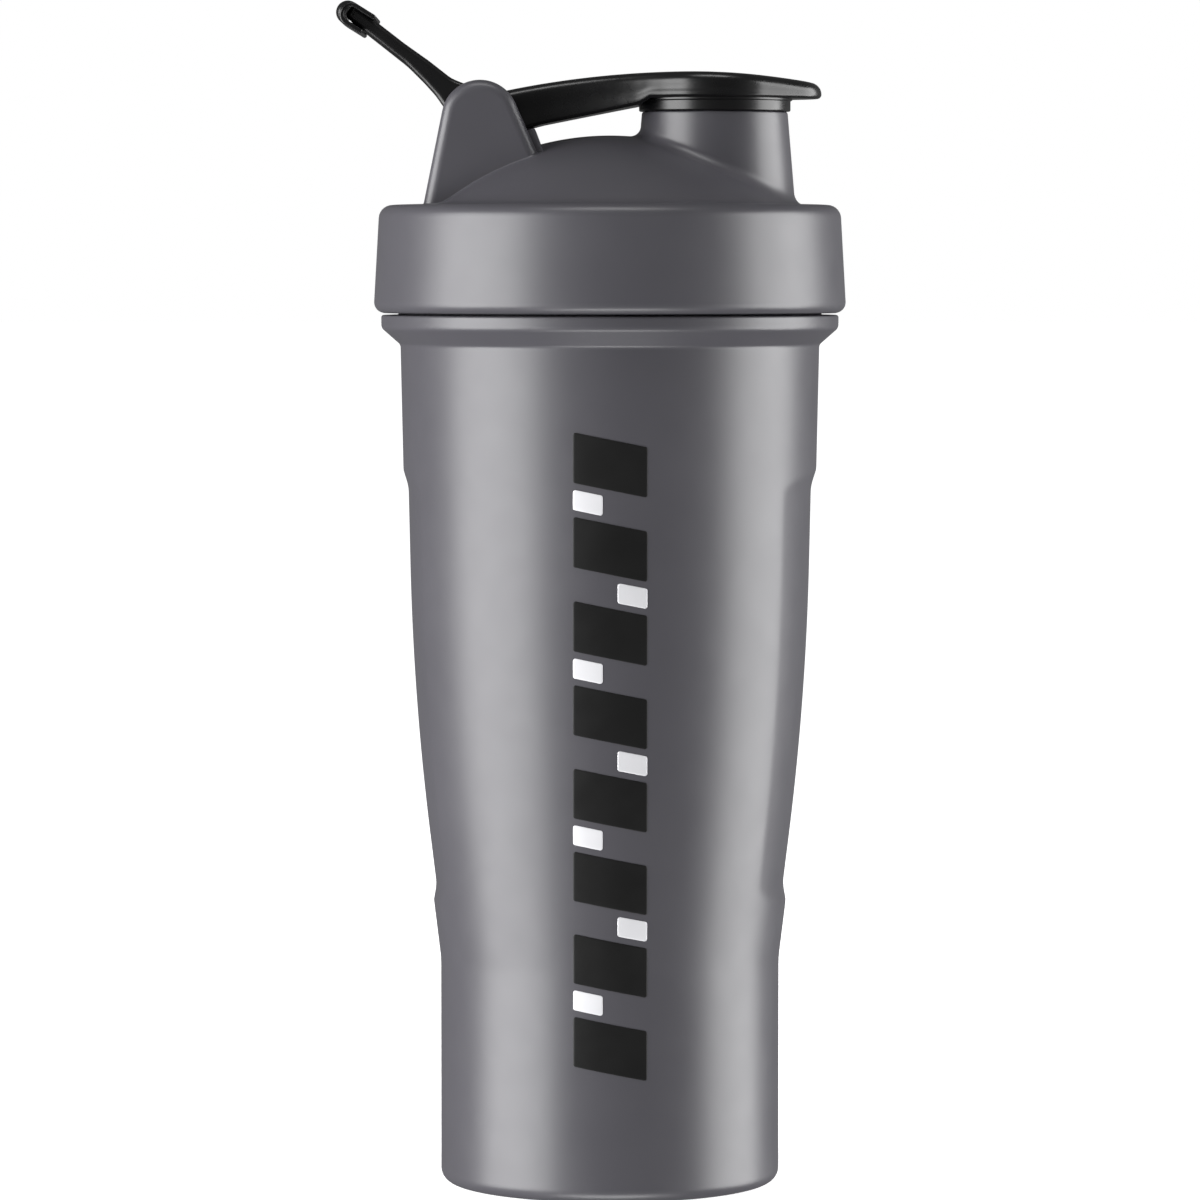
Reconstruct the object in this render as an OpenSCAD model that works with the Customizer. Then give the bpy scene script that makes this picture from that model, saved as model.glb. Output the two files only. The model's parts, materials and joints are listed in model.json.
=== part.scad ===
// Protein shaker bottle: a tapered cup with side grips, a screw lid with an off-centre spout,
// a flip cap and a carry loop on one hinge, two seals and a loose wire whisk ball.
// Origin: centre of the base on the surface it stands on. +Z up, +X towards the spout, -Y the printed front.

/* [Cup] */
// Radius of the round base
base_r = 35; // [30:0.5:38]
// Height of the straight base
base_h = 45; // [34:1:56]
// Height of the cone above the base
flare_h = 24; // [18:1:34]
// Height of the rounded stretch above the cone
belly_h = 56; // [46:1:68]
// Height of the almost straight stretch under the collar
upper_h = 45.4; // [36:0.1:56]
// Radius of the cup just under its collar
body_r = 43.2; // [41:0.1:48]
// Growth in radius for each mm of height in the upper stretch
upper_taper = 0.022; // [0.01:0.001:0.05]
// Thickness of the cup's wall
wall = 1.8; // [1.2:0.1:2.4]
// Thickness of the cup's floor
floor_t = 2.4; // [1.6:0.1:4]
// Height of the hollow under the base
push_up = 1.4; // [0.8:0.1:2.4]
// Width of the flat ring round the base
foot_ring = 3; // [2:0.5:5]
// Radius of the flat pad in the middle of the base
foot_pad_r = 10; // [6:1:16]

/* [Collar and neck] */
// How far the collar stands out from the cup
collar_out = 3.95; // [3:0.05:4.6]
// Height of the collar's straight rim
collar_h = 2.2; // [1.5:0.1:3.5]
// Width of the ledge on top of the collar, outside the neck
ledge_w = 3.6; // [3:0.1:4.4]
// Height of the threaded neck above the ledge
neck_h = 18.6; // [15:0.1:23]
// Thickness of the neck's wall
neck_wall = 2.4; // [1.8:0.1:3]

/* [Side grips] */
// Distance of each grip above the straight base
grip_up = 11; // [4:1:18]
// Height of each grip from end to end
grip_h = 94.2; // [70:0.2:110]
// Depth of each grip at its middle
grip_depth = 1; // [0.5:0.1:1.4]
// Offset of the axis that the grip's floor is turned about, away from its own side
grip_shift = 10; // [8:0.5:14]
// Angle at which the grips stand when the lid is tight
grip_turn = -5; // [-15:1:15]

/* [Thread] */
// Rise of the lid for one turn
lead = 10; // [8:0.5:12]
// Radial height of a thread ridge
thread_h = 1.6; // [1.2:0.1:1.9]
// Axial width of a ridge at its root
thread_root = 2.6; // [2:0.1:2.8]
// Axial width of a ridge at its crest
thread_crest = 1.2; // [0.8:0.1:1.4]
// Angle that each ridge on the neck covers
neck_wrap = 225; // [150:7.5:240]
// Angle that each ridge in the lid covers
lid_wrap = 105; // [75:7.5:135]
// Axial gap between the flanks that bear when the lid is tight
flank_gap = 0.35; // [0.2:0.05:0.45]

/* [Lid] */
// Gap between the lid's skirt and the collar
seam = 0.4; // [0.2:0.1:0.8]
// How far the lid's lower edge stands out from the collar
lid_out = 1.6; // [1:0.1:2.4]
// Inward lean of the skirt from its lower edge to the shoulder
skirt_lean = 1.25; // [0.8:0.05:1.8]
// Gap between the tips of the neck's thread and the skirt
thread_gap = 0.6; // [0.4:0.1:0.8]
// Thickness of the lid's shoulder and dome
lid_t = 2.2; // [1.6:0.1:2.8]
// Radius of the sphere that the dome is part of
dome_r = 57; // [50:1:64]
// Height of the dome's top above the shoulder
dome_h = 14.3; // [12:0.1:16]
// Depth of the plug ring that reaches into the neck
plug_h = 5.6; // [4:0.1:8]
// Thickness of the plug ring
plug_t = 1.8; // [1.2:0.1:2.4]
// Gap between the plug ring and the neck's bore
plug_gap = 0.4; // [0.3:0.05:0.6]
// Thickness of the lid gasket
gasket_t = 1.8; // [1.4:0.1:2.4]
// Gap on each side of the lid gasket
gasket_gap = 0.3; // [0.2:0.05:0.5]

/* [Spout] */
// Distance of the spout from the bottle's axis
spout_x = 21.6; // [20:0.1:23.5]
// Outer radius of the spout at its mouth
spout_r = 15.4; // [14:0.1:16]
// Growth of the spout's outer radius down to the shoulder
spout_flare = 1.2; // [0.6:0.1:1.6]
// Height of the mouth above the shoulder
spout_h = 19.1; // [17.5:0.1:21]
// Wall of the spout at its mouth
spout_wall = 2.2; // [1.8:0.1:2.8]

/* [Hinge] */
// Distance of the hinge from the bottle's axis
hinge_x = 26.5; // [25:0.1:29]
// Height of the hinge above the shoulder
hinge_h = 17.5; // [16.5:0.1:19]
// Distance between the outer faces of the two ears
ears_w = 32.4; // [30:0.1:35]
// Thickness of each ear
ear_t = 4.2; // [3.6:0.1:5]
// Radius of the ears' round top
ear_r = 7.85; // [7:0.05:8.5]
// Lean of the ears' edge on the loop's side
ear_back_lean = 11.4; // [6:0.1:16]
// Lean of the ears' edge on the spout's side
ear_front_lean = 23.8; // [16:0.1:28]
// Radius of the pins on the flip cap
pin_r = 2.2; // [1.8:0.1:2.8]
// Depth that the pins reach into each ear
pin_in = 1.8; // [1.4:0.1:2.2]
// Radial running clearance of the pins
pin_gap = 0.05; // [0.02:0.01:0.1]
// Side gap between the moving pieces and the ears
side_gap = 0.3; // [0.2:0.05:0.5]

/* [Flip cap] */
// Radius of the barrel that carries the pins
barrel_r = 5.4; // [4.6:0.1:6]
// How far the cap's round head reaches beyond the spout's mouth
head_over = 1.2; // [0.6:0.1:2.4]
// Height of the cap's underside above the spout's mouth
skirt_h = 2.7; // [2.2:0.1:3.2]
// Height of the cap's highest line above its underside
crown_h = 5.3; // [5:0.05:6.5]
// Radius of the arc along the cap's top
crown_r = 177.5; // [160:0.5:200]
// Distance of the arc's highest point from the bottle's axis
crown_x = 15; // [10:0.5:20]
// Reach of the thumb tab beyond the head
tab_out = 5.4; // [4:0.1:7]
// Radius of the thumb tab's end
tab_r = 9; // [7:0.5:11]
// Thickness of the skirt under the cap's edge
cap_skirt_t = 1.6; // [1.2:0.1:2]

/* [Spout seal] */
// Gap between the seal and the spout's bore
seal_gap = 0.3; // [0.2:0.05:0.4]
// Radial thickness of the seal
seal_t = 2.9; // [2.2:0.1:3.4]
// Depth that the seal reaches below the mouth
seal_in = 2.7; // [2:0.1:3]

/* [Carry loop] */
// Angle of the loop above the horizontal
loop_angle = 38; // [32:1:46]
// Distance of the loop's tip from the hinge
loop_l = 37; // [34:0.1:44]
// Thickness of the loop's arms near the tip
loop_t = 3.1; // [2.6:0.1:3.6]
// Width of each arm
loop_arm_w = 2.8; // [2.4:0.1:3.4]
// Radius of the eyelets round the pins
eyelet_r = 4.6; // [4:0.1:5.2]
// Length of the finger bar across the loop
bar_w = 27; // [25:0.5:34]
// Height of the finger bar
bar_h = 4.85; // [4.4:0.05:5.5]
// Depth of the finger bar along the loop
bar_d = 7.4; // [7:0.1:9]

/* [Whisk ball] */
// Radius of the wire ball
ball_r = 27; // [22:0.5:30]
// Radius of the ball's wire
wire_r = 1.1; // [0.8:0.1:1.4]
// Number of level rings in the ball
ball_rings = 7; // [3:2:9]

/* [Print] */
// Thickness of a printed layer
ink = 0.12; // [0.08:0.02:0.2]
// Width of the printed column
print_w = 14.9; // [12:0.1:18]
// Height of the print's lower end
print_z = 25; // [18:1:30]
// Height of one printed bar with the gap above it
print_pitch = 16.9; // [13.5:0.1:17.5]
// Number of printed bars
print_bars = 8; // [4:1:8]
// Rise of a bar across the column
print_slant = 3; // [1:0.5:4]

/* [Hidden] */
$fn = 96;

// Heights
root_h = 3;
cone_z = base_h + root_h;
grip_z = base_h + grip_up;
belly_z = cone_z + flare_h;
upper_z = belly_z + belly_h;
collar_z = upper_z + upper_h;
seam_z = collar_z + collar_out + collar_h;
rim_z = seam_z + neck_h;
ceiling_z = rim_z + gasket_t;
shoulder_z = ceiling_z + lid_t;
mouth_z = shoulder_z + spout_h;
hinge_z = shoulder_z + hinge_h;
cap_under_z = mouth_z + skirt_h;
crown_z = cap_under_z + crown_h;

// Radii
collar_r = body_r + collar_out;
neck_r = collar_r - ledge_w;
neck_bore_r = neck_r - neck_wall;
skirt_r = collar_r + lid_out;
skirt_in_r = neck_r + thread_h + thread_gap;
bore_r = spout_r - spout_wall;
head_r = spout_r + head_over;
dome_z = shoulder_z + dome_h - dome_r;
edge_r = 2.2;
shoulder_edge_r = 2.8;
foot_r = 2.8;

// Slope of the cone, chosen so that the outline ends at body_r
cone_slope = (body_r - base_r - upper_taper * (belly_h / 2 + upper_h))
    / (root_h / 2 + flare_h + belly_h / 2);
overlap = 0.4;
far = 120;
bridge_t = 2.6;

// The two straight lines under the cap's arm, from the barrel to the skirt
arm_heel = [3 - hinge_x, hinge_z - barrel_r + 0.8];
arm_low = [barrel_r - hinge_x + 5.6, hinge_z - 1.4];
arm_high = [spout_x - spout_r - 0.2, cap_under_z - 1.3];
function line_z(a, b, x) = a[1] + (x - a[0]) * (b[1] - a[1]) / (b[0] - a[0]);
function arm_under(x) = x < arm_low[0] ? line_z(arm_heel, arm_low, x) : line_z(arm_low, arm_high, x);

function arc(x, y, r, a0, a1, n) =
    [for (i = [0:n]) let (a = a0 + (a1 - a0) * i / n) [x + r * cos(a), y + r * sin(a)]];

// Radius of the cup at a height, without its grips: base, fillet, cone, rounded stretch, upper stretch
function cup_r(z) =
    z <= base_h ? base_r
    : z <= cone_z ? base_r + cone_slope * pow(z - base_h, 2) / (2 * root_h)
    : z <= belly_z ? cup_r(cone_z) + cone_slope * (z - cone_z)
    : z <= upper_z ? cup_r(belly_z) + cone_slope * (z - belly_z)
        - (cone_slope - upper_taper) * pow(z - belly_z, 2) / (2 * belly_h)
    : cup_r(upper_z) + upper_taper * (z - upper_z);

cup_steps = concat([base_h, cone_z, belly_z], [for (i = [1:8]) belly_z + belly_h * i / 8], [collar_z]);

// Outline of the cup from above its foot to the collar, moved inwards
function cup_line(inset) = [for (z = cup_steps) [cup_r(z) - inset, z]];

// A ring turned from an outline of radius and height
module turned(points) rotate_extrude() polygon(points);

// One grip floor as a turned surface about a shifted axis; everything outside it is cut away
module grip_cut(inset) {
    ramp = 6.5;
    clear = 0.3;
    top_z = grip_z + grip_h;
    zs = [for (i = [0:9]) grip_z + ramp + (grip_h - 2 * ramp) * i / 9];
    floor_line = concat([[cup_r(grip_z) + clear + grip_shift - inset, grip_z]],
        [for (z = zs) [cup_r(z) - grip_depth + grip_shift - inset, z]],
        [[cup_r(top_z) + clear + grip_shift - inset, top_z]]);
    outside = body_r + grip_shift + 10;
    intersection() {
        translate([-grip_shift, 0, 0])
            turned(concat(floor_line, [[outside, top_z], [outside, grip_z]]));
        translate([body_r / 2, -body_r, 0]) cube([body_r, 2 * body_r, collar_z]);
    }
}

module grips(inset)
    rotate([0, 0, grip_turn])
        for (side = [0, 180]) rotate([0, 0, side]) grip_cut(inset);

// The cup's body as a solid, moved inwards for the hollow
module cup_body(inset, low_z) {
    corner = foot_r - inset;
    difference() {
        turned(concat([[0, low_z]],
            arc(base_r - foot_r, low_z + corner, corner, -90, 0, 6),
            cup_line(inset), [[0, collar_z]]));
        grips(inset);
    }
}

// A helical ridge with tapered ends; out is 1 on a neck and -1 in a skirt
module ridge(root_r, z0, wrap, out) {
    step = 7.5;
    n = round(wrap / step);
    fade = 4;
    section = function (i)
        let (h = thread_h * min(1, (i + 0.3) / fade, (n - i + 0.3) / fade),
            c = z0 + lead * i * step / 360, a = i * step)
        [for (p = [[-overlap, -thread_root / 2], [h, -thread_crest / 2],
                [h, thread_crest / 2], [-overlap, thread_root / 2]])
            [(root_r + out * p[0]) * cos(a), (root_r + out * p[0]) * sin(a), c + p[1]]];
    points = [for (i = [0:n]) each section(i)];
    sides = [for (i = [0:n - 1]) for (k = [0:3]) let (a = 4 * i + k, b = 4 * i + (k + 1) % 4)
        each [[a, b, b + 4], [a, b + 4, a + 4]]];
    ends = [[3, 2, 1], [3, 1, 0], [4 * n, 4 * n + 1, 4 * n + 2], [4 * n, 4 * n + 2, 4 * n + 3]];
    faces = concat(sides, ends);
    polyhedron(points, out > 0 ? faces : [for (f = faces) [f[2], f[1], f[0]]]);
}

// Two starts, half a turn apart
module thread(root_r, z0, wrap, start, out)
    for (half = [0, 180]) rotate([0, 0, start + half]) ridge(root_r, z0, wrap, out);

thread_z = rim_z - 3.4 - thread_root / 2 - lead * neck_wrap / 360;
// Ridge width half way up its flanks, where the two threads meet
meeting_w = thread_root - (thread_root - thread_crest) * (thread_h + thread_gap) / (2 * thread_h);
lid_thread_start = (neck_wrap - lid_wrap) / 2;
lid_thread_z = thread_z + lead * lid_thread_start / 360 - meeting_w - flank_gap;

module bottle() {
    soft = 0.5;
    hollow_z = push_up + floor_t;
    color([0.42, 0.42, 0.45]) difference() {
        union() {
            cup_body(0, 0);
            turned(concat([[0, collar_z - 1], [cup_r(collar_z - 1), collar_z - 1], [body_r, collar_z]],
                arc(collar_r - 1.5, collar_z + collar_out + 0.3, 1.5, -50, 0, 3),
                arc(collar_r - soft, seam_z - soft, soft, 0, 90, 3),
                [[neck_r, seam_z], [neck_r, rim_z - 0.8], [neck_r - 0.8, rim_z], [0, rim_z]]));
            thread(neck_r, thread_z, neck_wrap, 0, 1);
        }
        cup_body(wall, hollow_z);
        turned([[0, collar_z - 0.1], [cup_r(collar_z) - wall, collar_z - 0.1],
            [neck_bore_r, seam_z - 1], [neck_bore_r, rim_z + 1], [0, rim_z + 1]]);
        turned([[foot_pad_r, -1], [base_r - foot_r - foot_ring, -1],
            [base_r - foot_r - foot_ring, push_up], [foot_pad_r, push_up]]);
    }
}

// Outline of an ear seen from the front: round top, two leaning edges, foot inside the dome
module ear_outline() {
    foot_z = shoulder_z - 0.6;
    back = hinge_z - foot_z;
    front_z = shoulder_z + 4;
    front = hinge_z - front_z;
    b = ear_back_lean;
    f = ear_front_lean;
    polygon(concat(
        arc(-hinge_x, hinge_z, ear_r, f, 180 - b, 24),
        [[-hinge_x - ear_r / cos(b) - back * tan(b), foot_z],
         [-hinge_x + ear_r / cos(f) + front * tan(f), foot_z],
         [-hinge_x + ear_r / cos(f) + front * tan(f), front_z]]));
}

// An outline in X and Z given a width across Y
module across(y, w) translate([0, y + w / 2, 0]) rotate([90, 0, 0]) linear_extrude(w) children();

// A bridge between the ears, along their leaning front edge and just clear of the cap's arm
module ear_bridge() {
    low_z = shoulder_z + 4;
    back = function (z) -hinge_x + ear_r / cos(ear_front_lean) + (hinge_z - z) * tan(ear_front_lean) - 1.4;
    top = function (x) arm_under(x) - 0.4;
    top_x = back(hinge_z - 3);
    across(0, ears_w - ear_t) polygon([
        [top_x, top(top_x)], [back(low_z), low_z], [back(low_z) + bridge_t, low_z],
        [top_x + bridge_t, top(top_x + bridge_t)]]);
}

module lid_outside() {
    low_z = seam_z + seam;
    shoulder_r = skirt_r - skirt_lean;
    turned(concat([[0, low_z]],
        arc(skirt_r - edge_r, low_z + edge_r, edge_r, -90, 0, 6),
        arc(shoulder_r - shoulder_edge_r, shoulder_z - shoulder_edge_r, shoulder_edge_r, 0, 90, 6),
        [[0, shoulder_z]]));
    intersection() {
        translate([0, 0, dome_z]) sphere(r = dome_r);
        translate([0, 0, shoulder_z - 1]) cylinder(r = skirt_in_r, h = dome_h + 2);
    }
    translate([spout_x, 0, shoulder_z - 0.5])
        cylinder(r1 = spout_r + spout_flare, r2 = spout_r, h = spout_h + 0.5);
    for (side = [-1, 1]) across(side * (ears_w - ear_t) / 2, ear_t) ear_outline();
    ear_bridge();
}

module lid_inside() {
    low_z = seam_z + seam;
    inner_r = dome_r - lid_t;
    plug_r = neck_bore_r - plug_gap;
    difference() {
        turned([[0, low_z - 1], [skirt_in_r + 0.6, low_z - 1], [skirt_in_r, low_z + 0.6],
            [skirt_in_r, ceiling_z], [0, ceiling_z]]);
        turned([[plug_r - plug_t, ceiling_z + 1], [plug_r - plug_t, ceiling_z - plug_h + 0.8],
            [plug_r - plug_t + 0.5, ceiling_z - plug_h], [plug_r - 0.7, ceiling_z - plug_h],
            [plug_r, ceiling_z - plug_h + 0.8], [plug_r, ceiling_z + 1]]);
    }
    intersection() {
        translate([0, 0, dome_z]) sphere(r = inner_r);
        translate([0, 0, ceiling_z - 1]) cylinder(r = plug_r - plug_t, h = dome_h + 2);
    }
    translate([spout_x, 0, ceiling_z]) intersection() {
        cylinder(r = bore_r, h = mouth_z - ceiling_z + 1);
        translate([-spout_x, 0, -1]) cylinder(r = plug_r - plug_t, h = far);
    }
}

module lid() {
    color([0.42, 0.42, 0.45]) {
        difference() {
            lid_outside();
            lid_inside();
            translate([-hinge_x, ears_w / 2 - ear_t + pin_in + 0.2, hinge_z]) rotate([90, 0, 0])
                cylinder(r = pin_r + pin_gap, h = ears_w - 2 * ear_t + 2 * pin_in + 0.4);
        }
        thread(skirt_in_r, lid_thread_z, lid_wrap, lid_thread_start, -1);
    }
}

module lid_gasket()
    color([0.16, 0.16, 0.17])
        turned([[neck_bore_r - plug_gap + gasket_gap, rim_z], [skirt_in_r - gasket_gap, rim_z],
            [skirt_in_r - gasket_gap, ceiling_z], [neck_bore_r - plug_gap + gasket_gap, ceiling_z]]);

// Half the room between the ears, and half the room inside the loop's arms
between = ears_w / 2 - ear_t;
inside_arms = between - side_gap - loop_arm_w;
cap_arm_w = 2 * (inside_arms - side_gap);

// The cap seen from the front: barrel, arched arm, head and thumb tab
module cap_side() {
    tip_x = spout_x + head_r + tab_out;
    tip_r = 1.6;
    top = function (x) crown_z - crown_r + sqrt(pow(crown_r, 2) - pow(x - crown_x, 2));
    left_x = -hinge_x + barrel_r;
    polygon(concat(
        [arm_heel, arm_low, arm_high, [spout_x - spout_r + 2, cap_under_z],
         [tip_x - 3, cap_under_z]],
        arc(tip_x - tip_r, cap_under_z + 0.3 + tip_r, tip_r, -80, 70, 5),
        [for (i = [0:16]) let (x = tip_x - 3 - (tip_x - 3 - left_x) * i / 16) [x, top(x)]],
        [[-hinge_x + 1, hinge_z + barrel_r - 0.1], [-hinge_x, hinge_z]]));
    translate([-hinge_x, hinge_z]) circle(r = barrel_r);
}

// The cap seen from above: arm, head and tab joined by their common tangents
module cap_plan() {
    tab_x = spout_x + head_r + tab_out - tab_r;
    lean = acos((head_r - tab_r) / (tab_x - spout_x));
    touch = function (x, r, side) [x + r * cos(lean), side * r * sin(lean)];
    half = cap_arm_w / 2;
    neck = function (side) [spout_x - head_r * cos(50), side * head_r * sin(50)];
    translate([spout_x, 0]) circle(r = head_r);
    translate([tab_x, 0]) circle(r = tab_r);
    polygon([touch(spout_x, head_r, 1), touch(spout_x, head_r, -1),
        touch(tab_x, tab_r, -1), touch(tab_x, tab_r, 1)]);
    polygon([[-hinge_x - barrel_r - 1, half], [-hinge_x - barrel_r - 1, -half], [0, -half],
        neck(-1), neck(1), [0, half]]);
}

// What the seal is pushed onto: a post with a lip at its lower end
module seal_post() {
    post_r = bore_r - seal_gap - seal_t;
    low_z = mouth_z - seal_in;
    translate([spout_x, 0, 0]) turned([[0, low_z], [post_r + 0.6, low_z], [post_r + 0.6, low_z + 0.8],
        [post_r, low_z + 1.2], [post_r, cap_under_z + overlap], [0, cap_under_z + overlap]]);
}

module flip_cap() {
    color([0.13, 0.13, 0.14]) {
        intersection() {
            across(0, 3 * head_r) cap_side();
            translate([0, 0, hinge_z - 30]) linear_extrude(60) cap_plan();
        }
        translate([spout_x, 0, 0]) turned([[spout_r + 0.2 - cap_skirt_t, mouth_z + 0.1],
            [spout_r + 0.2, mouth_z + 0.1], [spout_r + 0.2, cap_under_z + overlap],
            [spout_r + 0.2 - cap_skirt_t, cap_under_z + overlap]]);
        seal_post();
        translate([-hinge_x, between + pin_in, hinge_z]) rotate([90, 0, 0])
            cylinder(r = pin_r, h = 2 * (between + pin_in));
    }
}

module spout_seal() {
    seal_r = bore_r - seal_gap;
    color([0.16, 0.16, 0.17]) difference() {
        translate([spout_x, 0, 0]) turned([[0, mouth_z - seal_in], [seal_r - 0.8, mouth_z - seal_in],
            [seal_r, mouth_z - seal_in + 1], [seal_r, cap_under_z - 0.4], [seal_r - 0.4, cap_under_z],
            [0, cap_under_z]]);
        seal_post();
    }
}

// One arm of the loop seen from the front, lying along +X from the hinge
module loop_arm_side() {
    rise = 1;
    end = loop_l - bar_d + 5;
    polygon([[0, -eyelet_r * 0.6], [7.5, -2.8], [10, -1.95], [13.7, -1.3], [19, rise - loop_t / 2],
        [end, rise - loop_t / 2], [end, rise + loop_t / 2], [19, rise + loop_t / 2], [9.7, 2.85],
        [6.8, 3.6], [2, eyelet_r - 0.4]]);
    circle(r = eyelet_r);
}

// The finger bar seen from its end: a channel that opens towards the hinge
module bar_side() {
    r = bar_h / 2;
    lip = 1;
    translate([loop_l - r, 0.45]) rotate(-6) difference() {
        union() {
            circle(r = r);
            translate([r - bar_d, -r]) square([bar_d - r, bar_h]);
        }
        circle(r = r - lip);
        translate([r - bar_d - 1, lip - r]) square([bar_d - r + 1, bar_h - 2 * lip]);
    }
}

module carry_loop() {
    arm_y = inside_arms + loop_arm_w / 2;
    color([0.13, 0.13, 0.14])
        translate([-hinge_x, 0, hinge_z]) rotate([0, 180 + loop_angle, 0]) mirror([0, 0, 1]) difference() {
            union() {
                for (side = [-1, 1]) across(side * arm_y, loop_arm_w) loop_arm_side();
                intersection() {
                    across(0, bar_w) bar_side();
                    translate([0, 0, -10]) linear_extrude(20) loop_plan();
                }
            }
            rotate([90, 0, 0]) cylinder(r = pin_r + pin_gap, h = 2 * between, center = true);
        }
}

// The bar's rounded corners seen from above
module loop_plan() {
    corner = 2;
    w = bar_w / 2;
    translate([0, -w]) square([loop_l - corner, bar_w]);
    translate([0, corner - w]) square([loop_l, bar_w - 2 * corner]);
    for (side = [-1, 1]) translate([loop_l - corner, side * (w - corner)]) circle(r = corner);
}

// Level rings held together by one upright hoop of slightly thicker wire
module whisk_ball() {
    hoop_wire_r = wire_r + 0.15;
    track_r = ball_r - hoop_wire_r;
    color([0.75, 0.76, 0.78]) translate([0, 0, push_up + floor_t + ball_r]) {
        for (i = [1:ball_rings]) {
            a = -90 + 180 * i / (ball_rings + 1);
            translate([0, 0, track_r * sin(a)]) wire_ring(track_r * cos(a), wire_r);
        }
        rotate([90, 0, 0]) wire_ring(track_r, hoop_wire_r);
    }
}

module wire_ring(r, wire) rotate_extrude() translate([r, 0]) circle(r = wire, $fn = 24);

// A skin of ink on the front of the cup, cut to an outline in X and Z
module printed() {
    low = print_z - print_slant - 1;
    high = print_z + print_bars * print_pitch + 1;
    zs = concat([low], [for (z = cup_steps) if (z > low && z < high) z], [high]);
    intersection() {
        turned(concat([for (z = zs) [cup_r(z) + ink, z]],
            [for (i = [len(zs) - 1:-1:0]) [cup_r(zs[i]), zs[i]]]));
        rotate([90, 0, 0]) linear_extrude(far) children();
    }
}

// A slanted bar: from x0 to x1, height h above a line that rises across the column
module slanted(x0, x1, z, h) {
    rise = function (x) print_slant * (0.5 - x / print_w);
    polygon([[x0, z + rise(x0)], [x1, z + rise(x1)], [x1, z + rise(x1) + h], [x0, z + rise(x0) + h]]);
}

module print_black()
    color([0.05, 0.05, 0.05]) printed()
        for (i = [0:print_bars - 1])
            slanted(-print_w / 2, print_w / 2, print_z + i * print_pitch, print_pitch * 0.6);

module print_silver()
    color([0.85, 0.85, 0.86]) printed()
        for (i = [0:print_bars - 2]) {
            side = i % 2 == 0 ? -1 : 1;
            slanted(side > 0 ? print_w * 0.1 : -print_w / 2, side > 0 ? print_w / 2 : -print_w * 0.1,
                print_z + i * print_pitch + print_pitch * 0.68, print_pitch * 0.24);
        }

bottle();
lid();
lid_gasket();
flip_cap();
spout_seal();
carry_loop();
whisk_ball();
print_black();
print_silver();
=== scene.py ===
"""The looks of a shaker bottle: its cup, screw lid, flip cap, carry loop, seals, whisk ball and print.

Every shape is a surface worked out in millimetres on a grid, and put into the mesh in metres.
"""

import json
import math
from types import SimpleNamespace

import bmesh
import bpy
import numpy as np
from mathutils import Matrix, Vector


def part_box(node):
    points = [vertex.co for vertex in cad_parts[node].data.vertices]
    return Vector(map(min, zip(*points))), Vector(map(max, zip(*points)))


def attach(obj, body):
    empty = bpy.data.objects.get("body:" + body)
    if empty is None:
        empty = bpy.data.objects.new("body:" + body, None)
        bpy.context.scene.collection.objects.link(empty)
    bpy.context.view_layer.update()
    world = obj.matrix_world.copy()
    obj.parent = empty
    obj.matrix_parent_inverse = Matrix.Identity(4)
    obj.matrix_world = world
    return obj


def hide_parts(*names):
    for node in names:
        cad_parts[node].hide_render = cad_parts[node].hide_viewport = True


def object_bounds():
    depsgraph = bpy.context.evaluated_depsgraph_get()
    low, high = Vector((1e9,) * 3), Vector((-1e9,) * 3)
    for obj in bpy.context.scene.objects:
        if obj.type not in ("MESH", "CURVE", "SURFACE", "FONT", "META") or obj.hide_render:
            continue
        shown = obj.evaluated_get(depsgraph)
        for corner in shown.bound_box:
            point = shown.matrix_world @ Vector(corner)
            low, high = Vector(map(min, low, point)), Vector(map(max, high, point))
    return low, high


bl_info = {
    "name": "Shaker bottle",
    "version": (1, 0, 0),
    "blender": (4, 5, 0),
    "location": "3D View > Sidebar > Shaker",
    "description": "Builds the surfaces, finishes and studio of a shaker bottle with a screw lid",
    "category": "Add Mesh",
}

MM = 0.001  # metres
SHARP = math.radians(48)  # a fold larger than this is shaded as an edge
CLEAR = 0.4  # millimetres between the lid and the collar, and between the bridge and the cap
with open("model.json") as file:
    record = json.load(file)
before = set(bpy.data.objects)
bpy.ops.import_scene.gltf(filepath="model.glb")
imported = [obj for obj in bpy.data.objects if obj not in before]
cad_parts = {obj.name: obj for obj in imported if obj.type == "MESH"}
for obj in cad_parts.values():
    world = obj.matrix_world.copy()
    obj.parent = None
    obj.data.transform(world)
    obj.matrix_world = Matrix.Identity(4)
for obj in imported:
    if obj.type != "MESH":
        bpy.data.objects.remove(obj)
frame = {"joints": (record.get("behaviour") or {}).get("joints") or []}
cad_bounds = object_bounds()


def reach(node):
    """Lowest and highest corner of a CAD node in millimetres."""
    return tuple(np.array(corner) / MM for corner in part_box(node))


def joint_place(name):
    """The point on a joint's axis, in millimetres."""
    return next(np.array(j["pos_m"]) / MM for j in frame["joints"] if j["name"] == name)


cup_high = reach("bottle")[1]
lid_low, lid_high = reach("lid")
gasket_low, gasket_high = reach("lid_gasket")
cap_high = reach("flip_cap")[1]
seal_low, seal_high = reach("spout_seal")
ball_low, ball_high = reach("whisk_ball")
print_low, print_high = reach("print_black")
hinge = joint_place("cap_flip")


def length(name, description, mm):
    """A size property whose default is given in millimetres."""
    return bpy.props.FloatProperty(
        name=name, description=description, default=mm * MM, unit="LENGTH", subtype="DISTANCE", precision=5)


def turn(name, description, degrees):
    """An angle property whose default is given in degrees."""
    return bpy.props.FloatProperty(
        name=name, description=description, default=math.radians(degrees), unit="ROTATION", subtype="ANGLE")


def share(name, description, value, high=1.0):
    """A plain number from nought to high."""
    return bpy.props.FloatProperty(name=name, description=description, default=value, min=0.0, max=high)


def count(name, description, value):
    """A whole number."""
    return bpy.props.IntProperty(name=name, description=description, default=value, min=1)


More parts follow.
